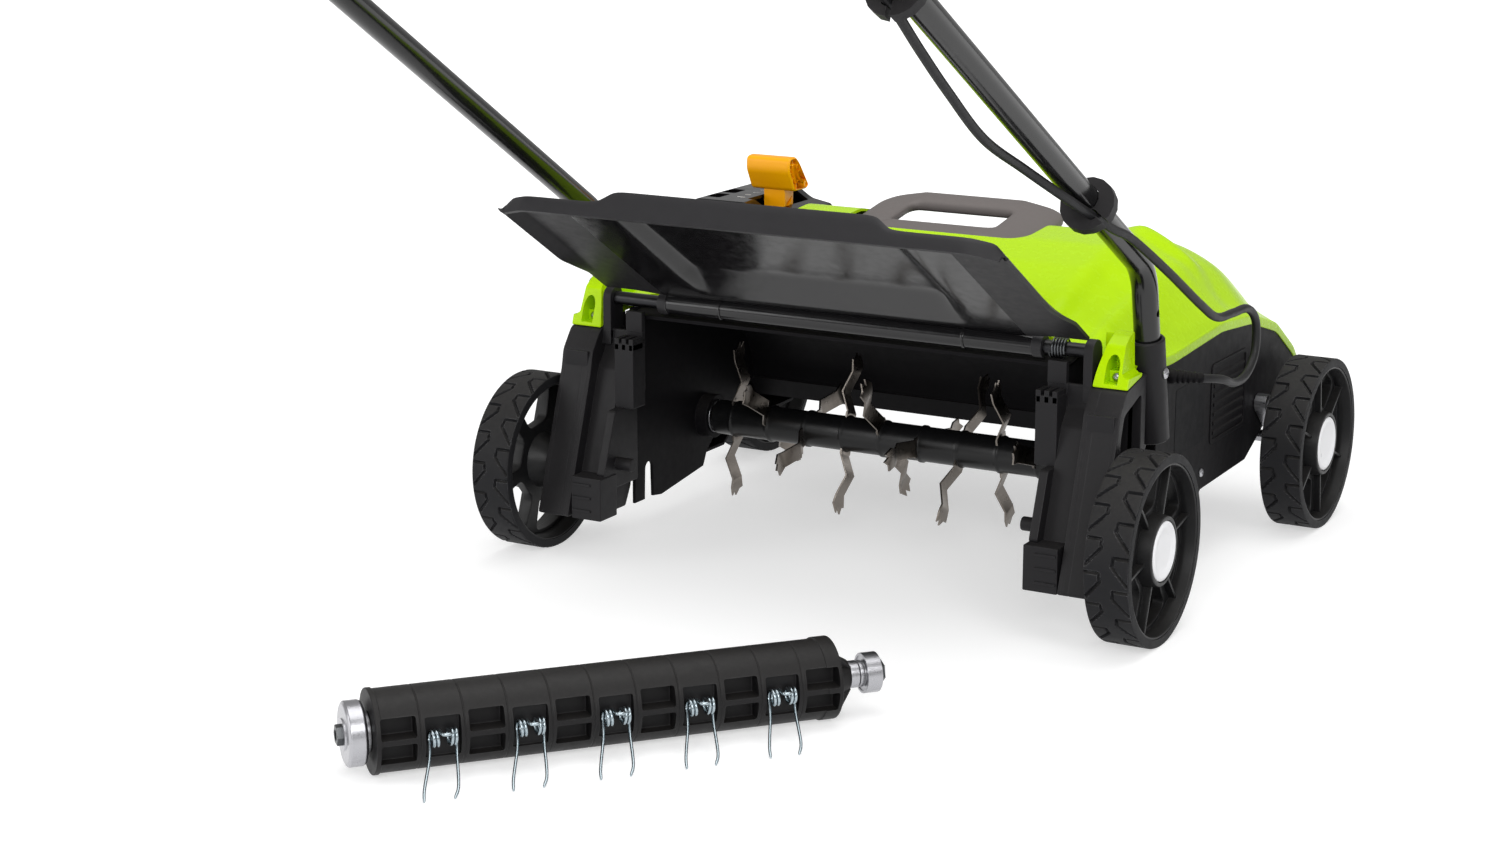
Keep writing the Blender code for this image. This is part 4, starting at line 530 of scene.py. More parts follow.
def surface(points: np.ndarray, close_u: bool = False, close_v: bool = False, caps: bool = False) -> Mesh:
    """Makes a mesh from a grid of points.

    Args:
        points: Array of shape (rows, columns, 3).
        close_u: Joins the last row to the first.
        close_v: Joins the last column to the first.
        caps: Fills the first and the last row, where the columns are closed.

    Returns:
        The mesh, its doubles merged and its faces turned outward.
    """
    rows, columns = points.shape[:2]
    index = np.arange(rows * columns).reshape(rows, columns)
    u = np.vstack([index, index[:1]]) if close_u else index
    v = np.hstack([u, u[:, :1]]) if close_v else u
    faces = np.stack([v[:-1, :-1], v[1:, :-1], v[1:, 1:], v[:-1, 1:]], axis=-1).reshape(-1, 4).tolist()
    if caps:
        faces += [index[0].tolist()[::-1], index[-1].tolist()]
    mesh = bpy.data.meshes.new("surface")
    mesh.from_pydata(points.reshape(-1, 3).tolist(), [], faces)
    return cleaned(mesh)


def cleaned(mesh: Mesh, within: float = 1e-7) -> Mesh:
    """Merges doubles and turns the faces outward.

    Args:
        mesh: The mesh, which is changed.
        within: How near two points are made one.

    Returns:
        The same mesh.
    """
    bm = bmesh.new()
    bm.from_mesh(mesh)
    bmesh.ops.remove_doubles(bm, verts=bm.verts, dist=within)
    bmesh.ops.recalc_face_normals(bm, faces=bm.faces)
    bm.to_mesh(mesh)
    bm.free()
    return mesh


def joined(*meshes: Mesh) -> Mesh:
    """Puts several meshes in one, without a Boolean.

    Args:
        meshes: The meshes.

    Returns:
        A new mesh.
    """
    bm = bmesh.new()
    for mesh in meshes:
        bm.from_mesh(mesh)
    made = bpy.data.meshes.new("joined")
    bm.to_mesh(made)
    bm.free()
    return made


def placed(mesh: Mesh, matrix: Matrix) -> Mesh:
    """Gives a moved copy of a mesh.

    Args:
        mesh: The mesh.
        matrix: Where it goes.

    Returns:
        The copy, its faces kept outward under a mirroring matrix.
    """
    made = mesh.copy()
    made.transform(matrix)
    if matrix.determinant() < 0:
        made.flip_normals()
    return made


def aimed(place: Sequence[float], heading: Sequence[float]) -> Matrix:
    """Turns the X axis along a heading and moves the origin to a place."""
    return Matrix.Translation(Vector(place)) @ Vector(heading).to_track_quat("X", "Z").to_matrix().to_4x4()


MIRROR = Matrix.Diagonal((-1.0, 1.0, 1.0, 1.0))
SIDES = (("left", -1, MIRROR), ("right", 1, Matrix.Identity(4)))


def carved(mesh: Mesh, *cutters: Mesh) -> Mesh:
    """Cuts closed meshes out of a mesh.

    Args:
        mesh: What is cut.
        cutters: What is taken out of it.

    Returns:
        The cut mesh.
    """
    base = bpy.data.objects.new("base", mesh)
    tool = bpy.data.objects.new("tool", joined(*cutters))
    for obj in (base, tool):
        bpy.context.scene.collection.objects.link(obj)
    modifier = base.modifiers.new("cut", "BOOLEAN")
    modifier.operation = "DIFFERENCE"
    modifier.solver = "EXACT"
    modifier.use_self = len(cutters) > 1
    modifier.object = tool
    bpy.context.view_layer.update()
    graph = bpy.context.evaluated_depsgraph_get()
    made = bpy.data.meshes.new_from_object(base.evaluated_get(graph))
    for obj in (base, tool):
        bpy.data.objects.remove(obj, do_unlink=True)
    return made


def inset(loop: np.ndarray, distance: float) -> np.ndarray:
    """Moves a closed outline to the left of its direction, with mitred corners.

    Args:
        loop: Points of shape (n, 2).
        distance: How far.

    Returns:
        The moved outline.
    """
    before = loop - np.roll(loop, 1, axis=0)
    after = np.roll(loop, -1, axis=0) - loop
    before /= np.linalg.norm(before, axis=1, keepdims=True)
    after /= np.linalg.norm(after, axis=1, keepdims=True)
    normal = np.stack([-(before[:, 1] + after[:, 1]), before[:, 0] + after[:, 0]], axis=1)
    normal /= np.maximum(np.linalg.norm(normal, axis=1, keepdims=True), 1e-9)
    side = np.stack([-before[:, 1], before[:, 0]], axis=1)
    reach = np.maximum((normal * side).sum(axis=1, keepdims=True), 0.35)
    return loop + normal * distance / reach


def rounded(loop: Loop, radius: float, steps: int = 4) -> list[tuple[float, float]]:
    """Rounds the corners of a flat closed outline.

    Args:
        loop: Its corners.
        radius: The radius, less where a side is short.
        steps: Points along each corner.

    Returns:
        The rounded outline.
    """
    made = []
    count = len(loop)
    for i in range(count):
        before, corner, after = (Vector(loop[(i + k) % count]) for k in (-1, 0, 1))
        a, b = before - corner, after - corner
        reach = min(radius, a.length * 0.45, b.length * 0.45)
        start, end = corner + a.normalized() * reach, corner + b.normalized() * reach
        for k in range(steps + 1):
            t = k / steps
            made.append(tuple(start * (1 - t) ** 2 + corner * 2 * t * (1 - t) + end * t * t))
    return made


def oblong(u: tuple[float, float], v: tuple[float, float]) -> list[tuple[float, float]]:
    """The corners of a rectangle between two values each way."""
    return [(u[0], v[0]), (u[1], v[0]), (u[1], v[1]), (u[0], v[1])]


def arc(
    middle: Sequence[float], radii: Sequence[float], start: float, end: float, count: int
) -> list[tuple[float, float]]:
    """Points along a round or oval outline, from one angle to another."""
    return [
        (
            middle[0] + radii[0] * math.cos(t), middle[1] + radii[1] * math.sin(t)
        ) for t in np.linspace(start, end, count)
    ]


def plate(
    loops: Sequence[Loop], low: float, high: float, axis: str = "X", bevel: float = 0.0008, steps: int = 2
) -> Mesh:
    """Makes a moulded plate with rounded edges from flat outlines.

    Args:
        loops: The outline, then its holes, as (y, z) for X, (x, z) for Y and (x, y) for Z.
        low: Where it starts along the axis.
        high: Where it ends.
        axis: The axis that it is thick along.
        bevel: Radius of its edges.
        steps: Facets of each rounded edge.

    Returns:
        A closed mesh.
    """
    bevel = min(bevel, (high - low) * 0.45)
    rings: list[tuple[float, float]] = []
    for k in range(steps + 1):
        angle = math.pi / 2 * k / steps
        rings.append((bevel * (1 - math.sin(angle)), low + bevel * (1 - math.cos(angle))))
    rings += [(side, low + high - level) for side, level in reversed(rings)]
    points: list[list[float]] = []
    faces: list[list[int]] = []
    caps: list[list[Vector]] = []
    low_index: list[int] = []
    high_index: list[int] = []
    for number, outline in enumerate(loops):
        loop = np.array(outline, float)
        following = np.roll(loop, -1, axis=0)
        area = (loop[:, 0] * following[:, 1] - following[:, 0] * loop[:, 1]).sum()
        if (area < 0) == (number == 0):
            loop = loop[::-1]
        base, count = len(points), len(loop)
        for side, level in rings:
            points += [[u, v, level] for u, v in inset(loop, side)]
        for ring in range(len(rings) - 1):
            for k in range(count):
                a, b = base + ring * count + k, base + ring * count + (k + 1) % count
                faces.append([a, b, b + count, a + count])
        last = base + (len(rings) - 1) * count
        caps.append([Vector((*point[:2], 0)) for point in points[base : base + count]])
        low_index += range(base, base + count)
        high_index += range(last, last + count)
    for triangle in tessellate_polygon(caps):
        faces.append([low_index[i] for i in triangle])
        faces.append([high_index[i] for i in reversed(triangle)])
    made = np.array(points)
    order = {"X": (2, 0, 1), "Y": (0, 2, 1), "Z": (0, 1, 2)}[axis]
    mesh = bpy.data.meshes.new("plate")
    mesh.from_pydata(made[:, order].tolist(), [], faces)
    return cleaned(mesh)


def block(
    x: tuple[float, float], y: tuple[float, float], z: tuple[float, float], bevel: float = 0.0008
) -> Mesh:
    """A box between two values on each axis, with its upright edges and its faces' edges rounded."""
    return plate([rounded(oblong(y, z), bevel, 2)], *x, bevel=bevel)


def softened(
    profile: Sequence[tuple[float, float]], radius: float, closed: bool = False
) -> list[tuple[float, float]]:
    """Rounds the corners of a lathe profile, its ends kept where it is open."""
    if closed:
        return rounded(profile, radius, 3)
    whole = rounded([*profile, (profile[-1][0], -1.0), (profile[0][0], -1.0)], radius, 3)
    return [profile[0], *whole[4 : 4 * (len(profile) - 1)], profile[-1]]


def lathe(
    profile: Sequence[tuple[float, float]], sides: int = 48, closed: bool = False, soft: float = 0.0
) -> Mesh:
    """Turns (along, radius) points about the X axis.

    Args:
        profile: The points.
        sides: Facets around.
        closed: Joins the last point to the first, which leaves a bore.
        soft: Radius of the profile's corners, or 0 for sharp ones.

    Returns:
        A closed mesh.
    """
    turns = np.linspace(0, 2 * math.pi, sides, endpoint=False)
    line = np.array(softened(profile, soft, closed) if soft else profile, float)
    x = np.repeat(line[:, :1], sides, axis=1)
    points = np.stack([x, line[:, 1:] * np.cos(turns), line[:, 1:] * np.sin(turns)], axis=-1)
    return surface(points, close_u=closed, close_v=True)


def between(value, knots: Sequence[tuple[float, float]]):
    """Straight-line interpolation through (position, value) knots."""
    table = np.array(knots)
    return np.interp(value, table[:, 0], table[:, 1])


def tube(path: np.ndarray, radius, sides: int = 20, wall: float = 0.0) -> Mesh:
    """Sweeps a round section along a path.

    Args:
        path: Points of shape (n, 3).
        radius: One radius, or one for each point.
        sides: Facets around.
        wall: Wall of a pipe, or 0 for a solid bar with closed ends.

    Returns:
        A closed mesh.
    """
    path = np.array(path, float)
    tangents = np.gradient(path, axis=0)
    tangents /= np.linalg.norm(tangents, axis=1, keepdims=True)
    normal = np.cross(tangents[0], (0.3, 0.2, 1.0) if abs(tangents[0][2]) < 0.9 else (1.0, 0.2, 0.0))
    normals = []
    for tangent in tangents:
        normal = normal - tangent * np.dot(normal, tangent)
        normal = normal / np.linalg.norm(normal)
        normals.append(normal)
    normals = np.array(normals)
    across = np.cross(tangents, normals)
    turns = np.linspace(0, 2 * math.pi, sides, endpoint=False)[:, None]
    radii = np.broadcast_to(np.asarray(radius, float), (len(path),))

    def ring_at(i: int, size: float) -> np.ndarray:
        """The ring of points around one point of the path."""
        return path[i] + size * (np.cos(turns) * normals[i] + np.sin(turns) * across[i])

    outer = [ring_at(i, radii[i]) for i in range(len(path))]
    if not wall:
        return surface(np.array(outer), close_v=True, caps=True)
    inner = [ring_at(i, radii[i] - wall) for i in range(len(path))]
    return surface(np.array(outer + inner[::-1]), close_u=True, close_v=True)


def rod(
    start: Sequence[float], end: Sequence[float], radius: float, sides: int = 32, bevel: float = 0.0006
) -> Mesh:
    """A round bar between two points with its rims rounded."""
    start, end = np.array(start, float), np.array(end, float)
    length = np.linalg.norm(end - start)
    heading = (end - start) / length
    bevel = min(bevel, radius * 0.5, length * 0.3)
    stations = ((0.0, radius - bevel), (bevel * 0.3, radius - bevel * 0.3), (bevel, radius))
    places = [(d, r) for d, r in stations] + [(length - d, r) for d, r in reversed(stations)]
    return tube(np.array([start + heading * d for d, _ in places]), [r for _, r in places], sides)


def spline(points: Sequence[Sequence[float]], spacing: float) -> np.ndarray:
    """A Catmull-Rom curve through points.

    Args:
        points: What it passes through.
        spacing: About how far apart its points are.

    Returns:
        Points of shape (n, 3).
    """
    line = [np.array(p, float) for p in points]
    line = [line[0] * 2 - line[1], *line, line[-1] * 2 - line[-2]]
    route = []
    for a, b, c, d in zip(line, line[1:], line[2:], line[3:]):
        steps = max(1, round(float(np.linalg.norm(c - b)) / spacing))
        for t in np.arange(steps) / steps:
            route.append(
                0.5 * (
                    2 * b + (c - a) * t + (2 * a - 5 * b + 4 * c - d) * t**2 + (3 * b - a - 3 * c + d) * t**3
                )
            )
    route.append(line[-2])
    return np.array(route)


def bent(points: Sequence[Sequence[float]], radii: Sequence[float], step: float = 4.0) -> np.ndarray:
    """A path through corner points, each turned with its own radius.

    Args:
        points: The corners.
        radii: One radius for each inner corner.
        step: Degrees of each facet.

    Returns:
        Points of shape (n, 3), also set along the straights.
    """
    corners = [Vector(p) for p in points]
    path = [corners[0]]
    for before, corner, after, radius in zip(corners, corners[1:], corners[2:], radii):
        a, b = (before - corner).normalized(), (after - corner).normalized()
        half = a.angle(b) / 2
        centre = corner + (a + b).normalized() * radius / math.sin(half)
        first = corner + a * radius / math.tan(half) - centre
        last = corner + b * radius / math.tan(half) - centre
        axis, turn = first.cross(last).normalized(), first.angle(last)
        count = max(2, math.ceil(math.degrees(turn) / step))
        path += [centre + Matrix.Rotation(turn * i / count, 3, axis) @ first for i in range(count + 1)]
    path.append(corners[-1])
    return np.array([tuple(p) for p in path])


def lengths(path: np.ndarray) -> np.ndarray:
    """How far along a path each of its points lies."""
    return np.concatenate([[0.0], np.cumsum(np.linalg.norm(np.diff(path, axis=0), axis=1))])


def eased(grid: np.ndarray, passes: int) -> np.ndarray:
    """Averages a grid with its neighbours along its first two axes, in place, its border kept."""
    for _ in range(passes):
        grid[1:-1] = (grid[:-2] + 2 * grid[1:-1] + grid[2:]) / 4
        grid[:, 1:-1] = (grid[:, :-2] + 2 * grid[:, 1:-1] + grid[:, 2:]) / 4
    return grid


def dense(grid: np.ndarray, rows: int, columns: int, passes: int) -> np.ndarray:
    """Fills a coarse grid of points in and rounds its creases.

    Args:
        grid: Points of shape (m, n, 3).
        rows: Steps between two of its rows.
        columns: Steps between two of its columns.
        passes: How many times each point is averaged with its neighbours.

    Returns:
        The dense grid, its border kept.
    """
    m, n = grid.shape[:2]
    u = np.linspace(0, m - 1, (m - 1) * rows + 1)
    v = np.linspace(0, n - 1, (n - 1) * columns + 1)
    full = np.stack(
        [np.interp(u, range(m), grid[:, j, k]) for j in range(n) for k in range(3)], axis=1
    ).reshape(len(u), n, 3)
    full = np.stack([np.stack([np.interp(v, range(n), row[:, k]) for k in range(3)], axis=1) for row in full])
    return eased(full, passes)


def shell(grid: np.ndarray, thickness: float) -> Mesh:
    """Gives a sheet of points a wall on the side against its normals.

    Args:
        grid: Points of shape (m, n, 3).
        thickness: The wall, negative for the other side.

    Returns:
        A closed mesh.
    """
    normals = np.cross(np.gradient(grid, axis=0), np.gradient(grid, axis=1))
    normals /= np.maximum(np.linalg.norm(normals, axis=2, keepdims=True), 1e-12)
    other = grid - normals * thickness
    loop = np.concatenate([grid, other[:, ::-1]], axis=1)
    return surface(loop, close_v=True, caps=True)


def sharpened(node: str, width: float, segments: int = 2, angle: float = 28.0) -> Mesh:
    """Copies a node of the frame in machine coordinates and rounds its edges.

    Args:
        node: The node's name.
        width: Width of the rounded edges.
        segments: Their facets.
        angle: The least angle of an edge that is rounded, in degrees.

    Returns:
        The copy.
    """
    bm = bmesh.new()
    bm.from_mesh(frame["nodes"][node].data)
    bmesh.ops.remove_doubles(bm, verts=bm.verts, dist=2e-5)
    bmesh.ops.dissolve_limit(bm, angle_limit=math.radians(1.5), verts=bm.verts, edges=bm.edges)
    edges = [e for e in bm.edges if len(e.link_faces) == 2 and e.calc_face_angle() > math.radians(angle)]
    bmesh.ops.bevel(
        bm, geom=edges, offset=width, segments=segments, affect="EDGES", profile=0.5, clamp_overlap=True
    )
    bmesh.ops.translate(bm, vec=-Vector(SHIFT), verts=bm.verts)
    made = bpy.data.meshes.new(node)
    bm.to_mesh(made)
    bm.free()
    return made


class Workshop:
    """Adds the pieces to the scene, each on the body that carries it."""

    def __init__(self, paint: Paint) -> None:
        self.paint = paint

    def add(
        self,
        name: str,
        mesh: Mesh,
        finish: Finish,
        body: str,
        stands_for: Sequence[str] = (),
        look: str = "",
        bends: bool = False,
    ) -> Object:
        """Adds a piece drawn in machine coordinates.

        Args:
            name: The piece's name.
            mesh: Its mesh.
            finish: Its finish, which gives its material where no look is given.
            body: The body that carries it.
            stands_for: Nodes that it replaces.
            look: The variant that it shows, where it isn't the slot's finish.
            bends: Whether it crosses the handle's fold, which leaves it where it stands, carried by no body.

        Returns:
            The new object.
        """
        own = mesh.copy()
        own.name = name
        own.transform(Matrix.Translation(Vector(SHIFT)))
        own.materials.clear()
        own.materials.append(self.paint.material(look or finish.value))
        own.shade_smooth()
        own.set_sharp_from_angle(angle=SHARP_ANGLE)
        obj = bpy.data.objects.new(name, own)
        bpy.context.scene.collection.objects.link(obj)
        weighted = obj.modifiers.new("normals", "WEIGHTED_NORMAL")
        weighted.keep_sharp = True
        weighted.weight = NORMAL_WEIGHT
        if bends:
            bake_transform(obj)
        else:
            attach(obj, body)
        if stands_for:
            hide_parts(*stands_for)
        return obj

    def screw(
        self, name: str, place: Sequence[float], facing: Sequence[float], radius: float, body: str
    ) -> None:
        """Adds a pan-head screw with a cross recess, its head's seat at place."""
        t = radius * 0.55
        head = lathe(
            [
                (0.0, 0.0), (0.0, radius), (t * 0.35, radius), (t * 0.8, radius * 0.8), (t, radius * 0.45),
                (t, 0.0)
            ],
            28
        )
        arm, deep = radius * 0.58, t * 0.4
        cross = [
            block((deep, t * 2), (-arm, arm), (-radius * 0.11, radius * 0.11), 0.0001),
            block((deep, t * 2), (-radius * 0.11, radius * 0.11), (-arm, arm), 0.0001),
        ]
        self.add(name, placed(carved(head, *cross), aimed(place, facing)), Finish.AXLE, body)


class Section:
    """A group of the machine's pieces."""

    def __init__(self, shop: Workshop) -> None:
        self.shop = shop
        self.add = shop.add


class Wheels(Section):
    """The four wheels: grey tread band, black rim with spokes, and white hub cap."""

    half = WHEEL_WIDTH / 2

    def tread(self) -> Mesh:
        """The tread band: trapezoid blocks in two rows, half a block apart, parted by thin grooves."""
        pitch = 2 * math.pi * WHEEL_RADIUS / TREAD_BLOCKS
        steps, edge = 34, 0.0016
        u = np.arange(steps) * pitch / steps
        v = np.linspace(-self.half + edge, self.half - edge, 38)
        line = ((0.0, self.half), (0.0, 0.0062), (0.007, 0.005), (0.0235, self.half))
        near = np.full((steps, len(v)), 1.0)
        for side, slide in ((1.0, 0.0), (-1.0, pitch / 2)):
            for turn in (-1, 0, 1):
                knots = [np.array((a + slide + turn * pitch, b * side)) for a, b in line]
                for a, b in zip(knots, knots[1:]):
                    place = np.stack(np.meshgrid(u, v, indexing="ij"), axis=-1)
                    along = np.clip(((place - a) @ (b - a)) / ((b - a) @ (b - a)), 0, 1)
                    near = np.minimum(near, np.linalg.norm(place - a - along[..., None] * (b - a), axis=-1))
        share = np.clip((near - GROOVE_HALF_WIDTH) / GROOVE_SLOPE, 0, 1)
        depth = TREAD_DEPTH * (1 - share * share * (3 - 2 * share))
        radii = np.tile(WHEEL_RADIUS - depth, (TREAD_BLOCKS, 1))
        rows = len(radii)
        low = [
            (-self.half, TREAD_INNER), (-self.half, WHEEL_RADIUS - edge),
            (-self.half + edge * 0.3, WHEEL_RADIUS - edge * 0.3)
        ]
        high = [(-x, r) for x, r in reversed(low)]
        x = np.array([p[0] for p in low] + list(v) + [p[0] for p in high])
        sides = [np.tile([p[1] for p in part], (rows, 1)) for part in (low, high)]
        r = np.hstack([sides[0], radii, sides[1]])
        turns = np.linspace(0, 2 * math.pi, rows, endpoint=False)[:, None]
        points = np.stack([np.tile(x, (rows, 1)), r * np.cos(turns), r * np.sin(turns)], axis=-1)
        return surface(points, close_u=True, close_v=True)

    def rim(self) -> Mesh:
        """The rim: its band, a disc with six openings, the hub and a rib along each spoke."""
        half = self.half
        band = [
            (-half + 0.0006, 0.0727), (half - 0.0006, 0.0727), (half - 0.0006, 0.0706), (0.01, 0.069),
            (-0.006, 0.069), (-half + 0.0006, 0.0706)
        ]
        hub = [(-half, 0.0062), (-half, 0.017), (-0.004, 0.026), (0.006, 0.031), (half - 0.001, HUB_RADIUS)]
        hub += [
            (half - 0.001, CAP_RADIUS + 0.0004), (half - 0.0053, CAP_RADIUS + 0.0004), (half - 0.0053, 0.0062)
        ]
        circle = [
            (0.07 * math.cos(t), 0.07 * math.sin(t)) for t in np.linspace(0, 2 * math.pi, 96, endpoint=False)
        ]
        holes = []
        for i in range(SPOKES):
            middle = 2 * math.pi * (i + 0.5) / SPOKES
            inner, outer = math.pi / SPOKES - 0.0062 / 0.037, math.pi / SPOKES - 0.009 / 0.066
            corners = [(0.037, -inner), (0.037, inner)] + [(0.066, outer * t) for t in (1, 0.5, 0, -0.5, -1)]
            loop = [(r * math.cos(middle + t), r * math.sin(middle + t)) for r, t in corners]
            holes.append(rounded(loop, 0.0055, 3))
        parts = [lathe(band, 96, closed=True, soft=0.0012), lathe(hub, 64, closed=True, soft=0.0012)]
        parts.append(plate([circle, *holes], -0.004, 0.006, bevel=0.0011))
        rib = block((0.004, 0.0125), (0.029, 0.07), (-0.0013, 0.0013), 0.0006)
        parts += [placed(rib, Matrix.Rotation(2 * math.pi * i / SPOKES, 4, "X")) for i in range(SPOKES)]
        return joined(*parts)

    def cap(self) -> Mesh:
        """The dished hub cap, its back at x = 0."""
        t = CAP_THICKNESS
        profile = [
            (0.0, 0.0), (0.0, CAP_RADIUS), (t - 0.0012, CAP_RADIUS), (t, 0.0224), (t - 0.0004, 0.0205),
            (t - 0.0019, 0.015), (t - 0.0022, 0.0)
        ]
        return lathe(profile, 72, soft=0.0012)

    def build(self) -> None:
        """Adds all four wheels."""
        tread, rim, cap = self.tread(), self.rim(), self.cap()
        for end, y in (("rear", 0.0), ("front", WHEELBASE)):
            spin = Matrix.Rotation(TREAD_TURN[end], 4, "X")
            for side, sign, flip in SIDES:
                place = Matrix.Translation((sign * (WHEEL_FACE_X - self.half), y, WHEEL_RADIUS)) @ flip @ spin
                cap_place = Matrix.Translation((sign * (WHEEL_FACE_X - CAP_THICKNESS), y, WHEEL_RADIUS)) @ flip
                body = f"{end}_{side}_wheel_set"
                name = f"{end}_wheel_{side}"
                self.add(f"{name}_tread", placed(tread, place), Finish.TREAD, body, [name])
                self.add(f"{name}_rim", placed(rim, place), Finish.TREAD, body, [name], "wheel_rim")
                cap_name = f"{end}_hub_cap_{side}"
                self.add(f"{cap_name}_disc", placed(cap, cap_place), Finish.CAP, body, [cap_name])


def socket_point(distance: float) -> np.ndarray:
    """A place on the axis of the right handle socket, below its rim."""
    return SOCKET_TOP - np.array((0.0, -math.sin(SOCKET_LEAN), math.cos(SOCKET_LEAN))) * distance


class Chassis(Section):
    """The legs, the tunnel, the side housings and the top cover."""

    def leg(self) -> Mesh:
        """The right leg with its post, rails, comb, hinge ear and web."""
        outline = [
            (-0.042, 0.042), (0.0, 0.169), (0.003, 0.185), (0.017, 0.2035), (0.06, 0.212), (0.06, 0.1),
            (0.048, 0.062), (0.022, 0.042)
        ]
        pocket = [(0.006, 0.112), (0.008, 0.165), (0.014, 0.184), (0.05, 0.196), (0.05, 0.108)]
        post = [
            (-0.03, 0.042), (0.012, 0.169), (0.024, 0.185), (0.024, 0.204), (0.0275, 0.204), (0.0275, 0.06),
            (0.018, 0.042)
        ]
        ear = arc((0.031, 0.231), (0.0105, 0.0105), 0, math.pi, 16) + [(0.0205, 0.195), (0.0415, 0.195)]
        web = [(0.05, 0.112), (0.05, 0.2085), (0.0725, 0.213), (0.094, 0.156), (0.088, 0.15)]
        window = [(0.0625, 0.132), (0.0625, 0.178), (0.076, 0.16)]
        foot = [(-0.03, 0.081), (-0.01, 0.137), (0.0275, 0.137), (0.0275, 0.066), (-0.012, 0.066)]
        parts = [
            plate([rounded(outline, 0.004)], LEG_INNER_X, 0.2475, bevel=0.001),
            plate([rounded(outline, 0.004), rounded(pocket, 0.005)], 0.2465, LEG_OUTER_X, bevel=0.0012),
            plate([rounded(post, 0.002)], 0.2136, LEG_INNER_X + 0.001, bevel=0.001),
            plate([ear], 0.229, LEG_INNER_X - 0.0003, bevel=0.0007),
            block((0.229, LEG_INNER_X + 0.001), (0.02, 0.044), (0.19, 0.203)),
            block((0.197, 0.214), (0.0215, 0.0275), (0.203, 0.222)),
            block((0.197, 0.215), (0.0225, 0.0275), (0.15, 0.204)),
            block((0.195, 0.2146), (0.003, 0.0235), (0.137, 0.196)),
            plate([rounded(foot, 0.003)], 0.206, 0.214, bevel=0.001),
            block((0.205, 0.236), (-0.038, -0.01), (0.041, 0.08), 0.0012),
            rod((0.19, -0.006, 0.088), (0.215, -0.006, 0.088), 0.006, bevel=0.0012),
            plate([rounded(web, 0.003), window], 0.2575, 0.2625),
        ]
        parts += [
            block((x, x + 0.0045), (0.003, 0.02), (0.19, 0.2005), 0.0005) for x in (0.195, 0.2025, 0.2098)
        ]
        parts += [
            block(
                (0.2368, 0.2384), (0.012 + 0.012 * k, 0.0135 + 0.012 * k), (0.075, 0.165), 0.0005
            ) for k in range(3)
        ]
        parts += [
            block((0.2155, 0.2345), (-0.0392, -0.038), (z, z + 0.0022), 0.0004) for z in (0.048, 0.06, 0.072)
        ]
        slope = [(-0.0415, 0.0435), (-0.0405, 0.043), (0.0008, 0.168), (-0.0004, 0.1684)]
        parts += [plate([slope], x, x + 0.002, bevel=0.0003, steps=1) for x in (0.2405, 0.265)]
        parts.append(block((0.2415, 0.266), (0.0005, 0.004), (0.1695, 0.1855), 0.0009))
        return joined(*parts)

    def socket(self) -> Mesh:
        """The grey handle socket with a rolled rim and an open bore."""
        radius, bore = SOCKET_RADIUS, TUBE_RADIUS + 0.0004
        profile = [
            (0.0, 0.0), (0.0, radius - 0.0012), (0.0012, radius), (SOCKET_LENGTH - 0.004, radius),
            (SOCKET_LENGTH - 0.0036, radius)
        ]
        profile += [
            (SOCKET_LENGTH - 0.0012, radius), (SOCKET_LENGTH, radius - 0.001), (SOCKET_LENGTH, bore + 0.0008),
            (SOCKET_LENGTH - 0.0012, bore)
        ]
        profile += [(0.013, bore), (0.013, 0.0)]
        return placed(lathe(profile, 56), aimed(socket_point(SOCKET_LENGTH), SOCKET_TOP - socket_point(0.01)))

    def build_legs(self) -> None:
        """Adds both legs with their sockets and screws."""
        leg, socket = self.leg(), self.socket()
        place = socket_point(0.03) + (SOCKET_RADIUS * 0.97, 0.0, 0.0)
        for side, sign, flip in SIDES:
            node = f"{side}_leg"
            self.add(f"{side}_leg_moulding", placed(leg, flip), Finish.LEG, "chassis", [node])
            self.add(f"{side}_handle_socket", placed(socket, flip), Finish.LEG, "chassis", [node])
            self.shop.screw(
                f"{side}_socket_screw", (sign * place[0], place[1], place[2]), (sign, 0, 0), 0.0047, "chassis"
            )

    def roof_line(self) -> np.ndarray:
        """The tunnel roof's line as a smooth curve of (y, z)."""
        return spline([(y, z, 0.0) for y, z in ROOF], 0.004)[:, :2]

    def build_deck(self) -> None:
        """Adds the tunnel: the ribbed roof, the walls, the pan under the motor and the rotor's seat."""
        line = self.roof_line()
        normal = np.gradient(line, axis=0)
        normal = np.stack([-normal[:, 1], normal[:, 0]], axis=1)
        normal /= np.linalg.norm(normal, axis=1, keepdims=True)
        upper = line + normal * 0.003
        roof = plate([np.vstack([line, upper[::-1]])], -DECK_OUTER_X, DECK_OUTER_X, bevel=0.0005)
        wall = [(0.0283, 0.042), (0.045, 0.042), (0.046, 0.07)]
        wall += arc((0.0525, 0.07), (0.0065, 0.0065), math.radians(165), math.radians(15), 10)
        wall += [(0.06, 0.042), (0.074, 0.04), (0.15, 0.05), (0.157, 0.064), (0.18, 0.083), (0.2455, 0.116)]
        wall += [tuple(p) for p in upper[::-1][4:]]
        parts = [roof]
        for sign in (-1, 1):
            low, high = sorted((sign * TUNNEL_HALF_WIDTH, sign * DECK_OUTER_X))
            parts.append(plate([wall], low, high, bevel=0.0008))
        pan_line = np.array([(0.244, 0.118), (0.256, 0.099), (0.44, 0.099), (0.464, 0.112), (0.474, 0.125)])
        pan_upper = pan_line + (
            (0.0025, 0.0017), (0.0016, 0.003), (-0.0008, 0.003), (-0.002, 0.0026), (-0.0022, 0.002)
        )
        parts.append(plate([np.vstack([pan_line, pan_upper[::-1]])], -DECK_OUTER_X, DECK_OUTER_X, bevel=0.0005))
        for y, z in ((0.07, 0.2162), (0.115, 0.2125), (0.165, 0.1995)):
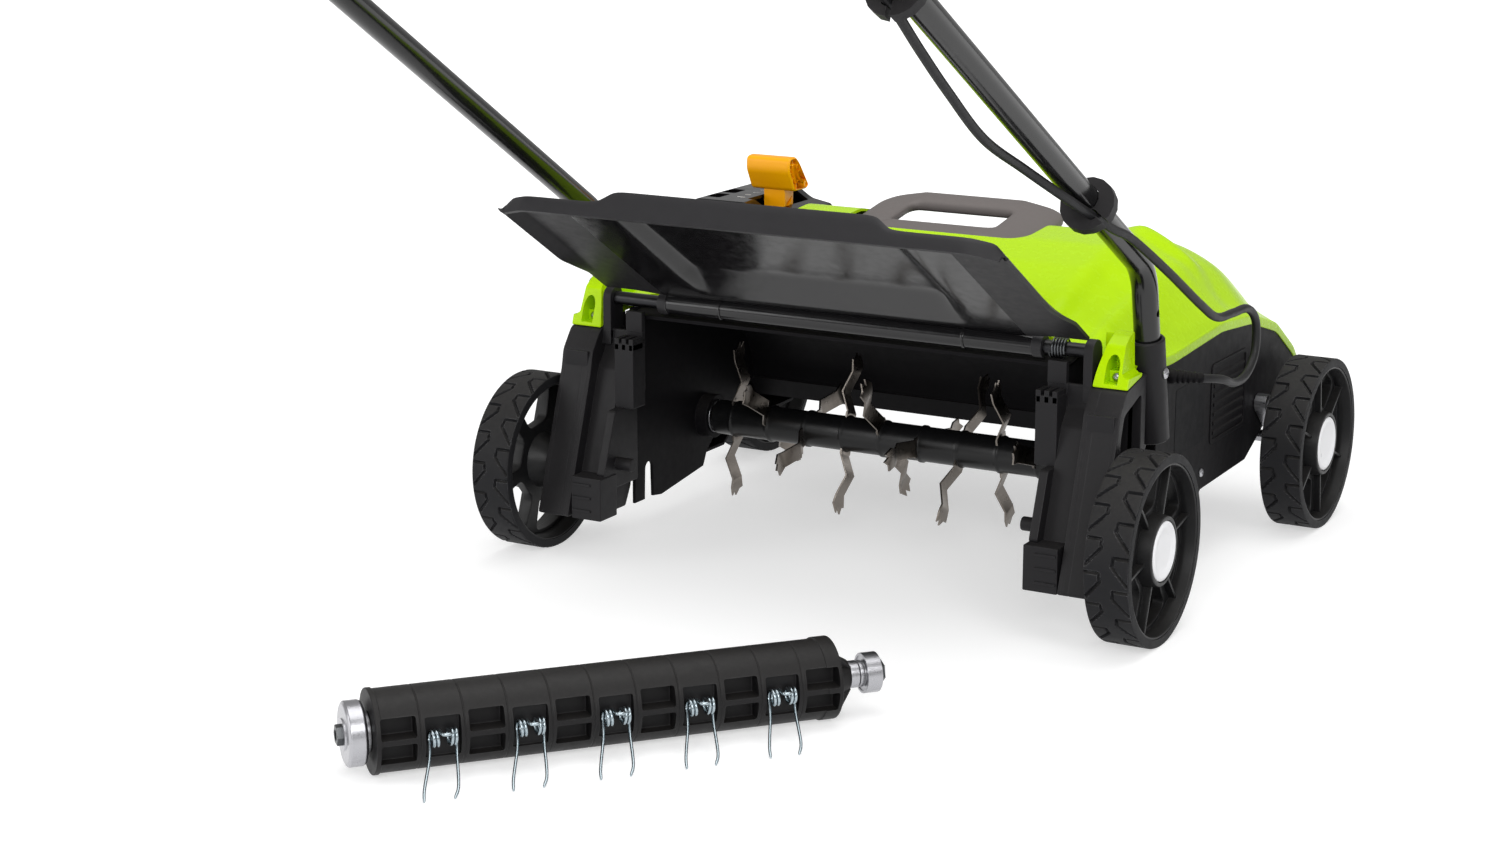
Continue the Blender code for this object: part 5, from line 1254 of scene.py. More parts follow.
            parts.append(
                block((-TUNNEL_HALF_WIDTH, TUNNEL_HALF_WIDTH), (y, y + 0.0018), (z, z + 0.0045), 0.0005)
            )
        seat = [(0.0, 0.0158), (0.0, 0.0205), (0.0145, 0.0205), (0.0145, 0.0158)]
        seat_place = Matrix.Translation((-0.212, ROTOR_Y, ROTOR_Z))
        parts.append(placed(lathe(seat, 48, closed=True, soft=0.0008), seat_place))
        self.add("tunnel_moulding", joined(*parts), Finish.BLACK, "chassis", ["deck_housing"])

    def build_housings(self) -> None:
        """Adds the side housings with louvres and screws, and a bare plate on the right one."""
        for side, sign, flip in SIDES:
            node = f"{side}_side_housing"
            self.add(f"{side}_housing_shell", sharpened(node, 0.0011), Finish.BLACK, "chassis", [node])
            slats = []
            for k in range(7):
                z = 0.118 + 0.0085 * k
                slat = [(0.261, z), (0.2634, z + 0.0012), (0.2634, z + 0.0036), (0.261, z + 0.0058)]
                slats.append(plate([slat], 0.24, 0.315, axis="Y", bevel=0.0005))
            border = rounded(oblong((0.233, 0.322), (0.111, 0.184)), 0.006)
            inner = rounded(oblong((0.237, 0.318), (0.115, 0.18)), 0.004)
            slats.append(plate([border, inner], 0.2612, 0.2632, bevel=0.0006))
            self.add(f"{side}_louvres", placed(joined(*slats), flip), Finish.BLACK, "chassis")
            for k, (y, z) in enumerate(((0.115, 0.1), (0.215, 0.09), (0.43, 0.115))):
                self.shop.screw(
                    f"{side}_housing_screw_{k + 1}", (sign * 0.2621, y, z), (sign, 0, 0), 0.0038, "chassis"
                )
        bare = plate([rounded(oblong((0.148, 0.218), (0.118, 0.178)), 0.003)], 0.2619, 0.2623, bevel=0.0001)
        self.add("blank_plate", bare, Finish.BLACK, "chassis", look="blank_plate")

    def cover_height(self, x: np.ndarray, y: np.ndarray) -> np.ndarray:
        """The height of the cover's outer face, with its bulge at the back and the step in its shoulders."""
        share = between(np.abs(x), SHOULDER)
        height = between(y, CREST) * (1 - share) + between(y, LIP) * share
        reach = ((x - 0.19) / 0.062) ** 2 + ((y - 0.34) / 0.085) ** 2
        (low_x, high_x), (low_y, high_y) = SHOULDER_X, SHOULDER_Y
        band = np.clip((np.abs(x) - low_x) / 0.003, 0, 1) * np.clip((high_x - np.abs(x)) / 0.003, 0, 1)
        band *= np.clip((y - low_y) / 0.003, 0, 1) * np.clip((high_y - y) / 0.02, 0, 1)
        return height + COVER_BULGE * np.maximum(0.0, 1 - reach) - SHOULDER_DROP * band

    def build_cover(self) -> None:
        """Adds the lime cover with its rounded creases, its openings, corner tabs and rim bead."""
        half = HOUSING_OUTER_X
        across, ahead = np.linspace(-half, half, COVER_GRID[0]), np.linspace(*COVER_SPAN, COVER_GRID[1])
        x, y = np.meshgrid(across, ahead, indexing="ij")
        skin = shell(np.stack([x, y, eased(self.cover_height(x, y), 2)], axis=-1), COVER_WALL)
        cutters = [
            block((-0.2504, -0.1516), (0.1896, 0.3004), (0.18, 0.32), 0.002),
            plate(
                [rounded(oblong((-0.0954, 0.0954), (0.1946, 0.3004)), 0.022, 8)], 0.22, 0.32, axis="Z",
                bevel=0.0001
            ),
        ]
        ends = [socket_point(0.11), socket_point(-0.05)]
        cutters += [rod(*[p * (sign, 1, 1) for p in ends], SOCKET_RADIUS + 0.0006, 48) for sign in (-1, 1)]
        parts = [carved(skin, *cutters)]
        tab = [(0.0178, 0.2042), (0.0215, 0.216), (0.031, 0.2385), (0.04, 0.245), (0.05, 0.248), (0.05, 0.2106)]
        rib = [(0.044, 0.2103), (0.044, 0.247), (0.103, 0.23), (0.103, 0.215), (0.06, 0.2128)]
        arch = [(0.2481, 0.208), (0.2599, 0.208)] + arc((0.254, 0.221), (0.0059, 0.0105), 0, math.pi, 14)
        body = plate([rounded(tab, 0.0022)], LEG_INNER_X + 0.0009, LEG_OUTER_X, bevel=0.0012)
        socket_cut = rod(*ends, SOCKET_RADIUS + 0.0006, 48)
        deep = [(x, max(z, 0.217)) for x, z in arch]
        inner = [
            (0.23, 0.206), (0.2385, 0.206), (0.2412, 0.222), (0.2455, 0.239), (0.248, 0.252), (0.23, 0.252)
        ]
        outer = [(0.28, 0.2135), (0.2662, 0.2135), (0.2625, 0.217), (0.2612, 0.252), (0.28, 0.252)]
        cuts = [
            plate([arch], 0.005, 0.0325, axis="Y", bevel=0.0002),
            plate([deep], 0.03, 0.046, axis="Y", bevel=0.0002)
        ]
        cuts += [plate([side], 0.005, 0.062, axis="Y", bevel=0.0002) for side in (inner, outer)]
        body = carved(body, *cuts, socket_cut)
        flange = carved(plate([rounded(rib, 0.002)], LEG_INNER_X + 0.0009, 0.247), socket_cut)
        rail = np.array(
            [(half - 0.0008, v, float(between(v, LIP)) - 0.0014) for v in np.linspace(0.104, 0.4735, 120)]
        )
        for _ in range(6):
            rail[1:-1] = (rail[:-2] + 2 * rail[1:-1] + rail[2:]) / 4
        low = rail[::-1, 1:] - (0.0, 0.0072)
        bead = joined(
            tube(rail, 0.0019, 14),
            plate([np.vstack([rail[:, 1:], low])], half - 0.0012, half + 0.0012, bevel=0.0006)
        )
        parts += [placed(one, flip) for *_, flip in reversed(SIDES) for one in (body, flange, bead)]
        self.add("cover_shell", joined(*parts), Finish.LIME, "chassis", ["top_cover"])
        for side, sign, _ in SIDES:
            self.shop.screw(
                f"{side}_cover_screw", (sign * 0.254, 0.0318, 0.212), (0, -1, 0.15), 0.0034, "chassis"
            )

    def build_carry_handle(self) -> None:
        """Adds the carry handle: one rounded ring whose front bar stands higher."""
        outer = np.array(self.even(rounded(oblong((-0.095, 0.095), (0.195, 0.3)), 0.022, 10), 160))
        inner = np.array(self.even(rounded(oblong((-0.052, 0.052), (0.22, 0.272)), 0.012, 10), 160))
        turns = np.linspace(0, 2 * math.pi, 28, endpoint=False)
        share = 0.5 - 0.5 * np.sign(np.cos(turns)) * np.abs(np.cos(turns)) ** 0.7
        level = -0.0065 + 0.0065 * np.sign(np.sin(turns)) * np.abs(np.sin(turns)) ** 0.7
        flat = outer[:, None] * (1 - share[:, None]) + inner[:, None] * share[:, None]
        lift = 0.288 + 0.018 * (flat[..., 1] - 0.195) / 0.105 - between(
            np.abs(flat[..., 0]), ((0.05, 0.0), (0.095, 0.008))
        )
        points = np.concatenate([flat, (lift + level)[..., None]], axis=-1)
        self.add(
            "carry_grip", surface(points, close_u=True, close_v=True), Finish.GRIP, "chassis", ["carry_handle"]
        )

    @staticmethod
    def even(loop: Sequence[tuple[float, float]], count: int) -> list[tuple[float, float]]:
        """Spreads points evenly in angle round a convex outline, seen from its middle."""
        points = np.array(loop)
        middle = points.mean(axis=0)
        closed = np.vstack([points, points[:1]])
        fine = np.vstack(
            [a + (b - a) * np.linspace(0, 1, 24, endpoint=False)[:, None] for a, b in zip(closed, closed[1:])]
        )
        heading = np.arctan2(fine[:, 1] - middle[1], fine[:, 0] - middle[0])
        order = np.argsort(heading)
        wanted = np.linspace(-math.pi, math.pi, count, endpoint=False)
        return [tuple(fine[order[min(i, len(order) - 1)]]) for i in np.searchsorted(heading[order], wanted)]

    def build(self) -> None:
        """Adds every fixed moulding."""
        self.build_legs()
        self.build_deck()
        self.build_housings()
        self.build_cover()
        self.build_carry_handle()


def rise_point(x: float, along: float, out: float) -> np.ndarray:
    """A place by the straight that carries the switch box."""
    place = RISE_START + UP_RISE * along + RISE_NORMAL * out
    return np.array((x, place[1], place[2]))


def lower_tube_centre(y: float) -> np.ndarray:
    """The axis of the right lower tube."""
    return np.array((TUBE_X + TUBE_SPLAY * y, y, TUBE_Z - math.tan(TUBE_SLOPE) * y))


def along_lower_tube(y: float, x_off: float, out: float) -> np.ndarray:
    """A place by the lower tube, to its side and out of it."""
    return lower_tube_centre(y) + np.array((x_off, 0.0, 0.0)) + TUBE_OUT * out


def clip_frame(y: float) -> np.ndarray:
    """Rows: to the side of the right lower tube, out of it, and ahead along it."""
    ahead = lower_tube_centre(y - 0.01) - lower_tube_centre(y)
    ahead /= np.linalg.norm(ahead)
    out = -np.cross((1.0, 0.0, 0.0), ahead)
    out /= np.linalg.norm(out)
    return np.array([-np.cross(ahead, out), out, ahead])


def clip_eye(y: float, eye_x: float, eye_out: float) -> np.ndarray:
    """The middle of a clip's open eye."""
    side, out, _ = clip_frame(y)
    return lower_tube_centre(y) + side * eye_x + out * eye_out


FOLD = lower_tube_centre(FOLD_Y)
ARM_X = FOLD[0] + 0.025
ARM_START = np.array((ARM_X, FOLD[1], FOLD[2]))
RISE_START = ARM_START + UP_SLOPE * 0.4
GRIP = RISE_START + UP_RISE * 0.2
CORD_JOIN = along_lower_tube(-0.41, -0.006, -0.01575)

CORD_ROUTE = [
    GLAND + (0.001, 0.0, 0.0),
    (0.27, 0.1242, 0.196),
    (0.2906, 0.1334, 0.195),
    (0.3, 0.156, 0.1905),
    (0.3005, 0.183, 0.1822),
    (0.3005, 0.212, 0.183),
    (0.3005, 0.2335, 0.1985),
    (0.3005, 0.2335, 0.2265),
    (0.3, 0.212, 0.242),
    (0.2988, 0.178, 0.244),
    (0.2975, 0.143, 0.2465),
    (0.296, 0.1062, 0.264),
    (0.289, 0.0445, 0.302),
    along_lower_tube(-0.008, 0.0168, -0.0045),
    along_lower_tube(-0.036, 0.0136, -0.01),
    clip_eye(*LOWER_CLIP),
    along_lower_tube(-0.1, 0.004, -0.0175),
    (0.252, -0.158, 0.408),
    (0.248, -0.222, 0.438),
    (0.248, -0.282, 0.478),
    (0.249, -0.33, 0.512),
    clip_eye(*UPPER_CLIP),
    CORD_JOIN - UP_SLOPE * 0.014,
    CORD_JOIN,
]
BOX_GLAND = rise_point(BUTTON_PLACE[0], 0.0445, -0.008)
UPPER_CORD_ROUTE = [
    CORD_JOIN,
    CORD_JOIN + UP_SLOPE * 0.0146,
    along_lower_tube(FOLD_Y - 0.005, -0.01, -0.02375),
    FOLD + UP_SLOPE * 0.06 + (-0.002, 0.0, 0.0) - RISE_NORMAL * 0.02,
    FOLD + UP_SLOPE * 0.15 + (0.006, 0.0, 0.0) - RISE_NORMAL * 0.018,
    FOLD + UP_SLOPE * 0.27 + (0.004, 0.0, 0.0) - RISE_NORMAL * 0.019,
    FOLD + UP_SLOPE * 0.36 + (-0.008, 0.0, 0.0) - RISE_NORMAL * 0.012,
    BOX_GLAND - UP_RISE * 0.02,
    BOX_GLAND,
]


class Controls(Section):
    """The depth lever with its quadrant, the flap, the hinge and the springs."""

    def build_quadrant(self) -> None:
        """Adds the hollow depth quadrant with its slot, windows and generic tick marks."""
        left, right, front, back, base, top = -0.25, -0.152, 0.19, 0.3, 0.228, 0.298
        wall = 0.003
        outline = [(left, base), (left, top - 0.014), (left + 0.008, top), (right - 0.036, top)]
        outline += [(right - 0.022, top - 0.009), (right, top - 0.013), (right, base)]
        outer = plate([rounded(outline, 0.0035, 4)], front, back, axis="Y", bevel=0.0028, steps=4)
        inner = [
            (left + wall, base - 0.01), (left + wall, top - 0.0155), (left + 0.0095, top - wall),
            (right - 0.037, top - wall)
        ]
        inner += [(right - 0.023, top - 0.012), (right - wall, top - 0.016), (right - wall, base - 0.01)]
        hollow = plate([rounded(inner, 0.002)], front + wall, back - wall, axis="Y", bevel=0.0015)
        cuts = [hollow] + [
            plate([rounded(oblong(x, y), 0.003)], 0.262, 0.31, axis="Z") for x, y in QUADRANT_WINDOWS
        ]
        self.add(
            "quadrant_box", carved(outer, *cuts), Finish.BLACK, "chassis", ["depth_quadrant"], "quadrant_gloss"
        )
        ticks = []
        for k in range(5):
            y = 0.217 + 0.015 * k
            end = -0.2045 + (0.0015 if k % 2 == 0 else 0.0)
            ticks.append(block((-0.211, end), (y, y + 0.0013), (top - 0.0003, top + 0.0002), 0.0001))
        self.add("quadrant_ticks", joined(*ticks), Finish.BLACK, "chassis", look="tick_marks")

    def build_lever(self) -> None:
        """Adds the yellow lever, open on its right side over ribs and a raised core."""
        stem = [(0.243, 0.232), (0.257, 0.232), (0.259, 0.308), (0.241, 0.308)]
        stem = plate([rounded(stem, 0.002)], -0.196, -0.173, bevel=0.0012)
        webs = []
        for z in (0.252, 0.269, 0.286):
            web = [(0.245, z), (0.255, z + 0.006), (0.255, z + 0.011), (0.245, z + 0.005)]
            webs += [
                plate([web], low, high, bevel=0.0002) for low, high in ((-0.1965, -0.181), (-0.178, -0.17))
            ]
        stem = carved(stem, *webs)
        grip = [
            (0.229, 0.336), (0.242, 0.337), (0.25, 0.33), (0.268, 0.307), (0.264, 0.3035), (0.239, 0.3035),
            (0.228, 0.324)
        ]
        loop = rounded(grip, 0.0045, 5)
        body = plate([loop], -0.208, -0.161, bevel=0.002, steps=4)
        wide, core, dip = (inset(self.wound(loop), distance) for distance in (0.0016, 0.0078, 0.0096))
        hollow = plate([wide, core], -0.1985, -0.16, bevel=0.0004)
        dimple = plate([dip], -0.17, -0.16, bevel=0.0004)
        body = carved(body, hollow, dimple)
        ribs = []
        middle = np.array(loop).mean(axis=0)
        for k in range(7):
            angle = 2 * math.pi * k / 7 + 0.3
            heading = np.array((math.cos(angle), math.sin(angle)))
            reach = self.reach(wide, middle, heading)
            near = self.reach(core, middle, heading)
            side = np.array((-heading[1], heading[0])) * 0.0005
            a, b = middle + heading * (near - 0.0008), middle + heading * (reach + 0.0008)
            ribs.append(plate([[a - side, b - side, b + side, a + side]], -0.2, -0.1635, bevel=0.0002))
        self.add("lever_arm", joined(stem, body, *ribs), Finish.LEVER, "depth_selector", ["depth_lever"])

    @staticmethod
    def wound(loop: Loop) -> np.ndarray:
        """The outline, wound so that inset() shrinks it."""
        line = np.array(loop, float)
        following = np.roll(line, -1, axis=0)
        area = (line[:, 0] * following[:, 1] - following[:, 0] * line[:, 1]).sum()
        return line if area > 0 else line[::-1]

    @staticmethod
    def reach(loop: np.ndarray, middle: np.ndarray, heading: np.ndarray) -> float:
        """How far a ray from the middle runs to the outline."""
        best = 1.0
        for a, b in zip(loop, np.roll(loop, -1, axis=0)):
            table = np.array([heading, a - b]).T
            if abs(np.linalg.det(table)) < 1e-12:
                continue
            t, s = np.linalg.solve(table, a - middle)
            if 0 <= s <= 1 and 0 < t < best:
                best = float(t)
        return best

    def build_flap(self) -> None:
        """Adds the flap with its matte edge band, its raised panel and its hinge barrel."""
        edge = FLAP_EDGE
        xs = [-edge, -0.222, -0.203, -0.1354, -0.1195, -0.06, 0.0, 0.06, 0.1195, 0.1354, 0.203, 0.222, edge]
        fractions = [0.0, 0.07, 0.18, 0.3, 0.45, 0.62, 0.8, 1.0]
        grid = np.zeros((len(xs), len(fractions), 3))
        for i, x in enumerate(xs):
            start = float(between(abs(x), ((0.19, 0.003), (0.203, 0.015))))
            end = FLAP_LENGTH - float(between(abs(x), ((0.203, 0.0), (0.222, 0.008), (edge, 0.014))))
            rise = float(between(abs(x), ((0.1195, PANEL_RISE), (0.1354, 0.0))))
            for j, f in enumerate(fractions):
                along = start + (end - start) * f
                out = 0.007 + rise * float(between(f, ((0.07, 0.0), (0.3, 1.0))))
                if abs(x) > edge - 1e-6:
                    out -= float(between(f, ((0.18, 0.0), (0.45, 0.01))))
                grid[i, j] = (x, *(HINGE + FLAP_ALONG * along + FLAP_OUT * out)[1:])
        full = dense(grid, 10, 10, 4)
        last = full[:, -1:].copy()
        height = (last - HINGE) @ FLAP_OUT
        depth = height + np.where(np.abs(last[..., 0]) > 0.228, 0.002, 0.007)
        ends = []
        for back, over in ((0.1, 0.0009), (0.3, 0.0016), (0.65, 0.0019), (1.0, 0.002)):
            ends.append(last - FLAP_OUT * (depth * back)[..., None] + FLAP_ALONG * over)
        full = np.concatenate([full, *ends], axis=1)
        mesh = shell(full, -FLAP_WALL)
        barrel = rod((-0.181, *HINGE[1:]), (0.19, *HINGE[1:]), 0.009, 40, 0.0008)
        parts = [mesh, barrel]
        for low, high in ((-0.1815, -0.172), (-0.1195, -0.1165), (0.1165, 0.1195), (0.181, 0.1905)):
            parts.append(rod((low, *HINGE[1:]), (high, *HINGE[1:]), 0.0099, 40, 0.001))
        for k in range(9):
            x = -0.16 + 0.04 * k
            rib = [(-0.006, 0.0), (0.004, 0.004), (0.015, 0.0065), (0.015, 0.0088), (0.0, 0.0088)]
            loop = [tuple((HINGE + FLAP_ALONG * a + FLAP_OUT * o)[1:]) for a, o in rib]
            parts.append(plate([loop], x, x + 0.0024, bevel=0.0004))
        obj = self.add("flap_sheet", joined(*parts), Finish.FLAP, "rear_flap", ["flap"])
        obj.data.materials.append(self.shop.paint.material("flap_matte"))
        origin = HINGE + SHIFT
        for face in obj.data.polygons:
            place = np.array(face.center) - origin
            along, x = float(place @ FLAP_ALONG), abs(float(place[0]))
            if x > MATTE_BEYOND or along > FLAP_LENGTH - MATTE_EDGE:
                face.material_index = 1

    def build_spring(self) -> None:
        """Adds the flap's torsion spring and the pin that it sits on."""
        turns, low, high, radius = 5, 0.1975, 0.2105, 0.0082
        t = np.linspace(0, 1, turns * 28)
        angle = 2 * math.pi * turns * t + math.radians(200)
        coil = np.stack(
            [low + (high - low) * t, HINGE[1] + radius * np.cos(angle), HINGE[2] + radius * np.sin(angle)],
            axis=1
        )
        self.add("flap_coil", tube(coil, 0.0009, 12), Finish.SPRING, "chassis", ["flap_spring"], "dark_coil")
        pin = rod((-0.2364, *HINGE[1:]), (0.2364, *HINGE[1:]), 0.006, 32, 0.0008)
        self.add("flap_pin", pin, Finish.AXLE, "chassis", ["hinge_pin"], "blackened_pin")

    def build(self) -> None:
        """Adds the controls and the flap."""
        self.build_quadrant()
        self.build_lever()
        self.build_flap()
        self.build_spring()


class HandleFrame(Section):
    """The tubes, the clamp knobs, the switch box with its bail and button, the clips and the power lead."""

    @staticmethod
    def fine(path: np.ndarray, step: float = 0.012) -> np.ndarray:
        """The path with points added along its straights."""
        made = [path[0]]
        for a, b in zip(path, path[1:]):
            count = max(1, round(float(np.linalg.norm(b - a)) / step))
            made += [a + (b - a) * k / count for k in range(1, count + 1)]
        return np.array(made)

    def lower_path(self) -> np.ndarray:
        """The right lower tube's axis from its seat in the socket to the fold."""
        lean = math.tan(SOCKET_LEAN)
        slope = math.tan(TUBE_SLOPE)
        corner_y = (SOCKET_TOP[1] - lean * (TUBE_Z - SOCKET_TOP[2])) / (1 - lean * slope)
        corner = lower_tube_centre(corner_y)
        end = lower_tube_centre(FOLD_Y - TUBE_OVERHANG * math.cos(TUBE_SLOPE))
        return bent([socket_point(0.0785), corner, end], [0.05], 3.0)

    def build_tubes(self) -> None:
        """Adds both lower tubes and the one-piece upper handle."""
        bolt = rod(FOLD - (0.03, 0, 0), FOLD + (0.03, 0, 0), BOLT_HOLE, 24)
        path = self.fine(self.lower_path())
        lower = carved(tube(path, TUBE_RADIUS, 44, TUBE_WALL), bolt)
        place = socket_point(-0.023)
        lower = carved(lower, rod(place, place + (0.014, 0.0, 0.0), 0.003, 20))
        end = self.lower_path()[-1]
        bore = TUBE_RADIUS - TUBE_WALL - 0.0001
        profile = [(-0.006, 0.0), (-0.006, bore), (0.0, bore)]
        profile += [(0.0, TUBE_RADIUS - 0.0002), (0.0012, TUBE_RADIUS - 0.0012), (0.0016, 0.0)]
        cap = lathe(profile, 40)
        plug = placed(cap, aimed(end - UP_SLOPE * PLUG_DEPTH, UP_SLOPE))
        for side, _, flip in SIDES:
            node = f"{side}_lower_tube"
            self.add(f"{side}_tube_pipe", placed(lower, flip), Finish.TUBE, "chassis", [node])
            self.add(f"{side}_tube_plug", placed(plug, flip), Finish.TUBE, "chassis", [node], "end_plug")
        corners = [ARM_START - UP_SLOPE * TUBE_OVERHANG, RISE_START, GRIP]
        mirrored = [p * (-1, 1, 1) for p in reversed(corners)]
        whole = self.fine(bent([*corners, *mirrored], [0.08, 0.055, 0.055, 0.08], 3.0))
        upper = tube(whole, TUBE_RADIUS, 44, TUBE_WALL)
        for sign in (-1, 1):
            near, far = (sign * (ARM_X - 0.03), *FOLD[1:]), (sign * (ARM_X + 0.03), *FOLD[1:])
            upper = carved(upper, rod(near, far, BOLT_HOLE, 24))
        self.add("upper_pipe", upper, Finish.TUBE, "handle", ["upper_handle"])
        for side, sign, _ in SIDES:
            plug = placed(cap, aimed(corners[0] * (sign, 1, 1) + UP_SLOPE * PLUG_DEPTH, -UP_SLOPE))
            self.add(f"{side}_arm_plug", plug, Finish.TUBE, "handle", look="end_plug")

    def build_knobs(self) -> None:
        """Adds the lobed clamp knobs on their bolts."""
        turns = np.linspace(0, 2 * math.pi, 120, endpoint=False)
        stations = [
            (0.0, 0.0), (0.0, 0.72), (0.0008, 0.88), (0.0025, 0.97), (0.005, 1.0), (0.01, 1.0), (0.012, 0.96),
            (0.0134, 0.86), (0.014, 0.72), (0.0128, 0.55), (0.012, 0.3), (0.012, 0.0)
        ]
        lobes = 0.019 - 0.0025 * (1 - np.cos(6 * turns)) / 2
        rows = []
        for along, share in stations:
            x, radius = np.full_like(turns, along + 0.006), lobes * share
            rows.append(np.stack([x, radius * np.cos(turns), radius * np.sin(turns)], axis=1))
        body = surface(np.array(rows), close_v=True)
        neck = lathe([(0.0, 0.0), (0.0, 0.01), (0.0085, 0.01), (0.0085, 0.0)], 40, soft=0.001)
        head = FOLD[0] - 0.017
        for side, sign, flip in SIDES:
            node = f"{side}_knob"
            seat = Matrix.Translation((sign * (ARM_X + TUBE_RADIUS + 0.0004), *FOLD[1:])) @ flip
            self.add(
                f"{side}_knob_grip", placed(joined(body, neck), seat), Finish.BLACK, f"{side}_clamp_knob",
                [node]
            )
            low, high = sorted((sign * head, sign * (ARM_X + 0.014)))
            bolt = rod((low, *FOLD[1:]), (high, *FOLD[1:]), 0.003, 32, 0.0008)
            nut = lathe([(0.0, 0.0), (0.0, 0.007), (0.0042, 0.007), (0.0042, 0.0)], 6)
            nut = placed(nut, Matrix.Translation((sign * head, *FOLD[1:])) @ flip)
            self.add(f"{side}_knob_bolt", joined(bolt, nut), Finish.AXLE, f"{side}_clamp_knob", [node])

    def rise_matrix(self) -> Matrix:
        """Turns (x, along, out) into machine coordinates by the rising straight."""
        columns = ((1, 0, 0, 0), (*UP_RISE, 0), (*RISE_NORMAL, 0), (0, *RISE_START[1:], 1))
        return Matrix(columns).transposed()

    def build_switch(self) -> None:
        """Adds the switch box with its parting line and screws, its button and the bail."""
        low_x, high_x = 0.205, ARM_X - TUBE_RADIUS - 0.0004
        case = rounded(oblong((low_x, high_x), (0.045, 0.15)), 0.0075, 6)
        lower = plate([case], -0.028, -0.0013, axis="Z", bevel=0.005, steps=5)
        upper = plate([case], -0.0009, BOX_FACE, axis="Z", bevel=0.006, steps=5)
        core = rounded(oblong((low_x + 0.001, high_x - 0.001), (0.046, 0.149)), 0.0065, 6)
        seam = plate([core], -0.006, 0.004, axis="Z", bevel=0.0002)
        seat = Matrix.Translation(BUTTON_PLACE) @ Matrix.Rotation(-math.pi / 2, 4, "Y")
        well = lathe([(0.0115, 0.0), (0.0115, 0.0088), (0.03, 0.0088), (0.03, 0.0)], 48)
        ring = lathe(
            [(0.0252, 0.009), (0.0252, 0.0112), (0.0266, 0.0112), (0.0266, 0.009)], 48, closed=True, soft=0.0004
        )
        grooves = []
        for k in range(9):
            along = 0.06 + 0.006 * k
            grooves.append(
                block((low_x - 0.0002, low_x + 0.0008), (along, along + 0.002), (-0.018, 0.016), 0.0003)
            )
        upper = joined(carved(upper, placed(well, seat)), placed(ring, seat))
        turn = self.rise_matrix()
        self.add(
            "switch_shell", placed(joined(lower, upper, seam), turn), Finish.BLACK, "handle", ["switch_box"]
        )
        self.add("switch_grip_ribs", placed(joined(*grooves), turn), Finish.BLACK, "handle")
        corners = [(x, along) for along in (0.056, 0.139) for x in (low_x + 0.009, high_x - 0.009)]
        for k, (x, along) in enumerate(corners):
            self.shop.screw(
                f"switch_screw_{k + 1}", rise_point(x, along, -0.0279), -RISE_NORMAL, 0.003, "handle"
            )
        button = [(BOX_FACE - 0.0092, 0.0), (BOX_FACE - 0.0092, 0.008), (BOX_FACE + 0.0035, 0.008)]
        button += [(BOX_FACE + 0.0043, 0.0068), (BOX_FACE + 0.0045, 0.0055), (BOX_FACE + 0.0041, 0.0)]
        self.add(
            "button_cap", placed(lathe(button, 48), turn @ seat), Finish.BUTTON, "lock_button",
            ["safety_button"]
        )
        self.build_bail()

    def build_bail(self) -> None:
        """Adds the wire bail."""
        pivot = rise_point(0.0, 0.1, 0.0)
        lean = UP_RISE * math.cos(BAIL_LEAN) + RISE_NORMAL * math.sin(BAIL_LEAN)
        far = pivot + lean * 0.098
        corners = [
            (0.211, *pivot[1:]), (0.1985, *pivot[1:]), (0.1985, *far[1:]), (-(ARM_X - 0.02), *far[1:]),
            (-(ARM_X - 0.02), *pivot[1:]), (-(ARM_X - 0.0114), *pivot[1:])
        ]
        path = self.fine(bent(corners, [0.0055, 0.03, 0.03, 0.0055], 6.0))
        self.add("bail_wire", tube(path, 0.004, 24), Finish.TUBE, "bail", ["bail_lever"])

    def build_clips(self) -> None:
        """Adds both cable clips: a round body on the tube with an open hook for the lead."""
        for name in ("lower_cable_clip", "upper_cable_clip"):
            self.add(f"{name}_body", sharpened(name, 0.0007, 3), Finish.LEG, "chassis", [name])

    def build_lead(self) -> None:
        """Adds the lead: its part on the machine, its part on the handle and their tapered strain reliefs."""
        lower = tube(spline(CORD_ROUTE, 0.006), CORD_RADIUS, 20)
        self.add("lead_lower", lower, Finish.CORD, "chassis", ["power_cord_lower"])
        upper = tube(spline(UPPER_CORD_ROUTE, 0.005), CORD_RADIUS, 20)
        self.add("lead_upper", upper, Finish.CORD, "handle", ["power_cord_upper"], bends=True)
        relief = self.relief(spline(CORD_ROUTE, 0.002), 0.03, 0.0068)
        self.add("lead_relief", relief, Finish.BLACK, "chassis")
        other = self.relief(spline(UPPER_CORD_ROUTE, 0.002)[::-1], 0.026, 0.0062)
        self.add("lead_relief_box", other, Finish.BLACK, "handle")

    @staticmethod
    def relief(path: np.ndarray, length: float, radius: float) -> Mesh:
        """A ribbed sleeve that tapers along the start of a path."""
        steps = lengths(path)
        at = np.linspace(0.0, length, 61)
        line = np.stack([np.interp(at, steps, path[:, k]) for k in range(3)], axis=1)
        share = at / length
        ribs = 0.5 - 0.5 * np.cos(2 * math.pi * np.clip((share - 0.2) / 0.72, 0, 1) * 5)
        radii = radius + (CORD_RADIUS + 0.0006 - radius) * share - 0.0007 * ribs
        radii[-1] = CORD_RADIUS + 0.0002
        return tube(line, radii, 28)

    def build(self) -> None:
        """Adds the handle."""
        self.build_tubes()
        self.build_knobs()
        self.build_switch()
        self.build_clips()
        self.build_lead()


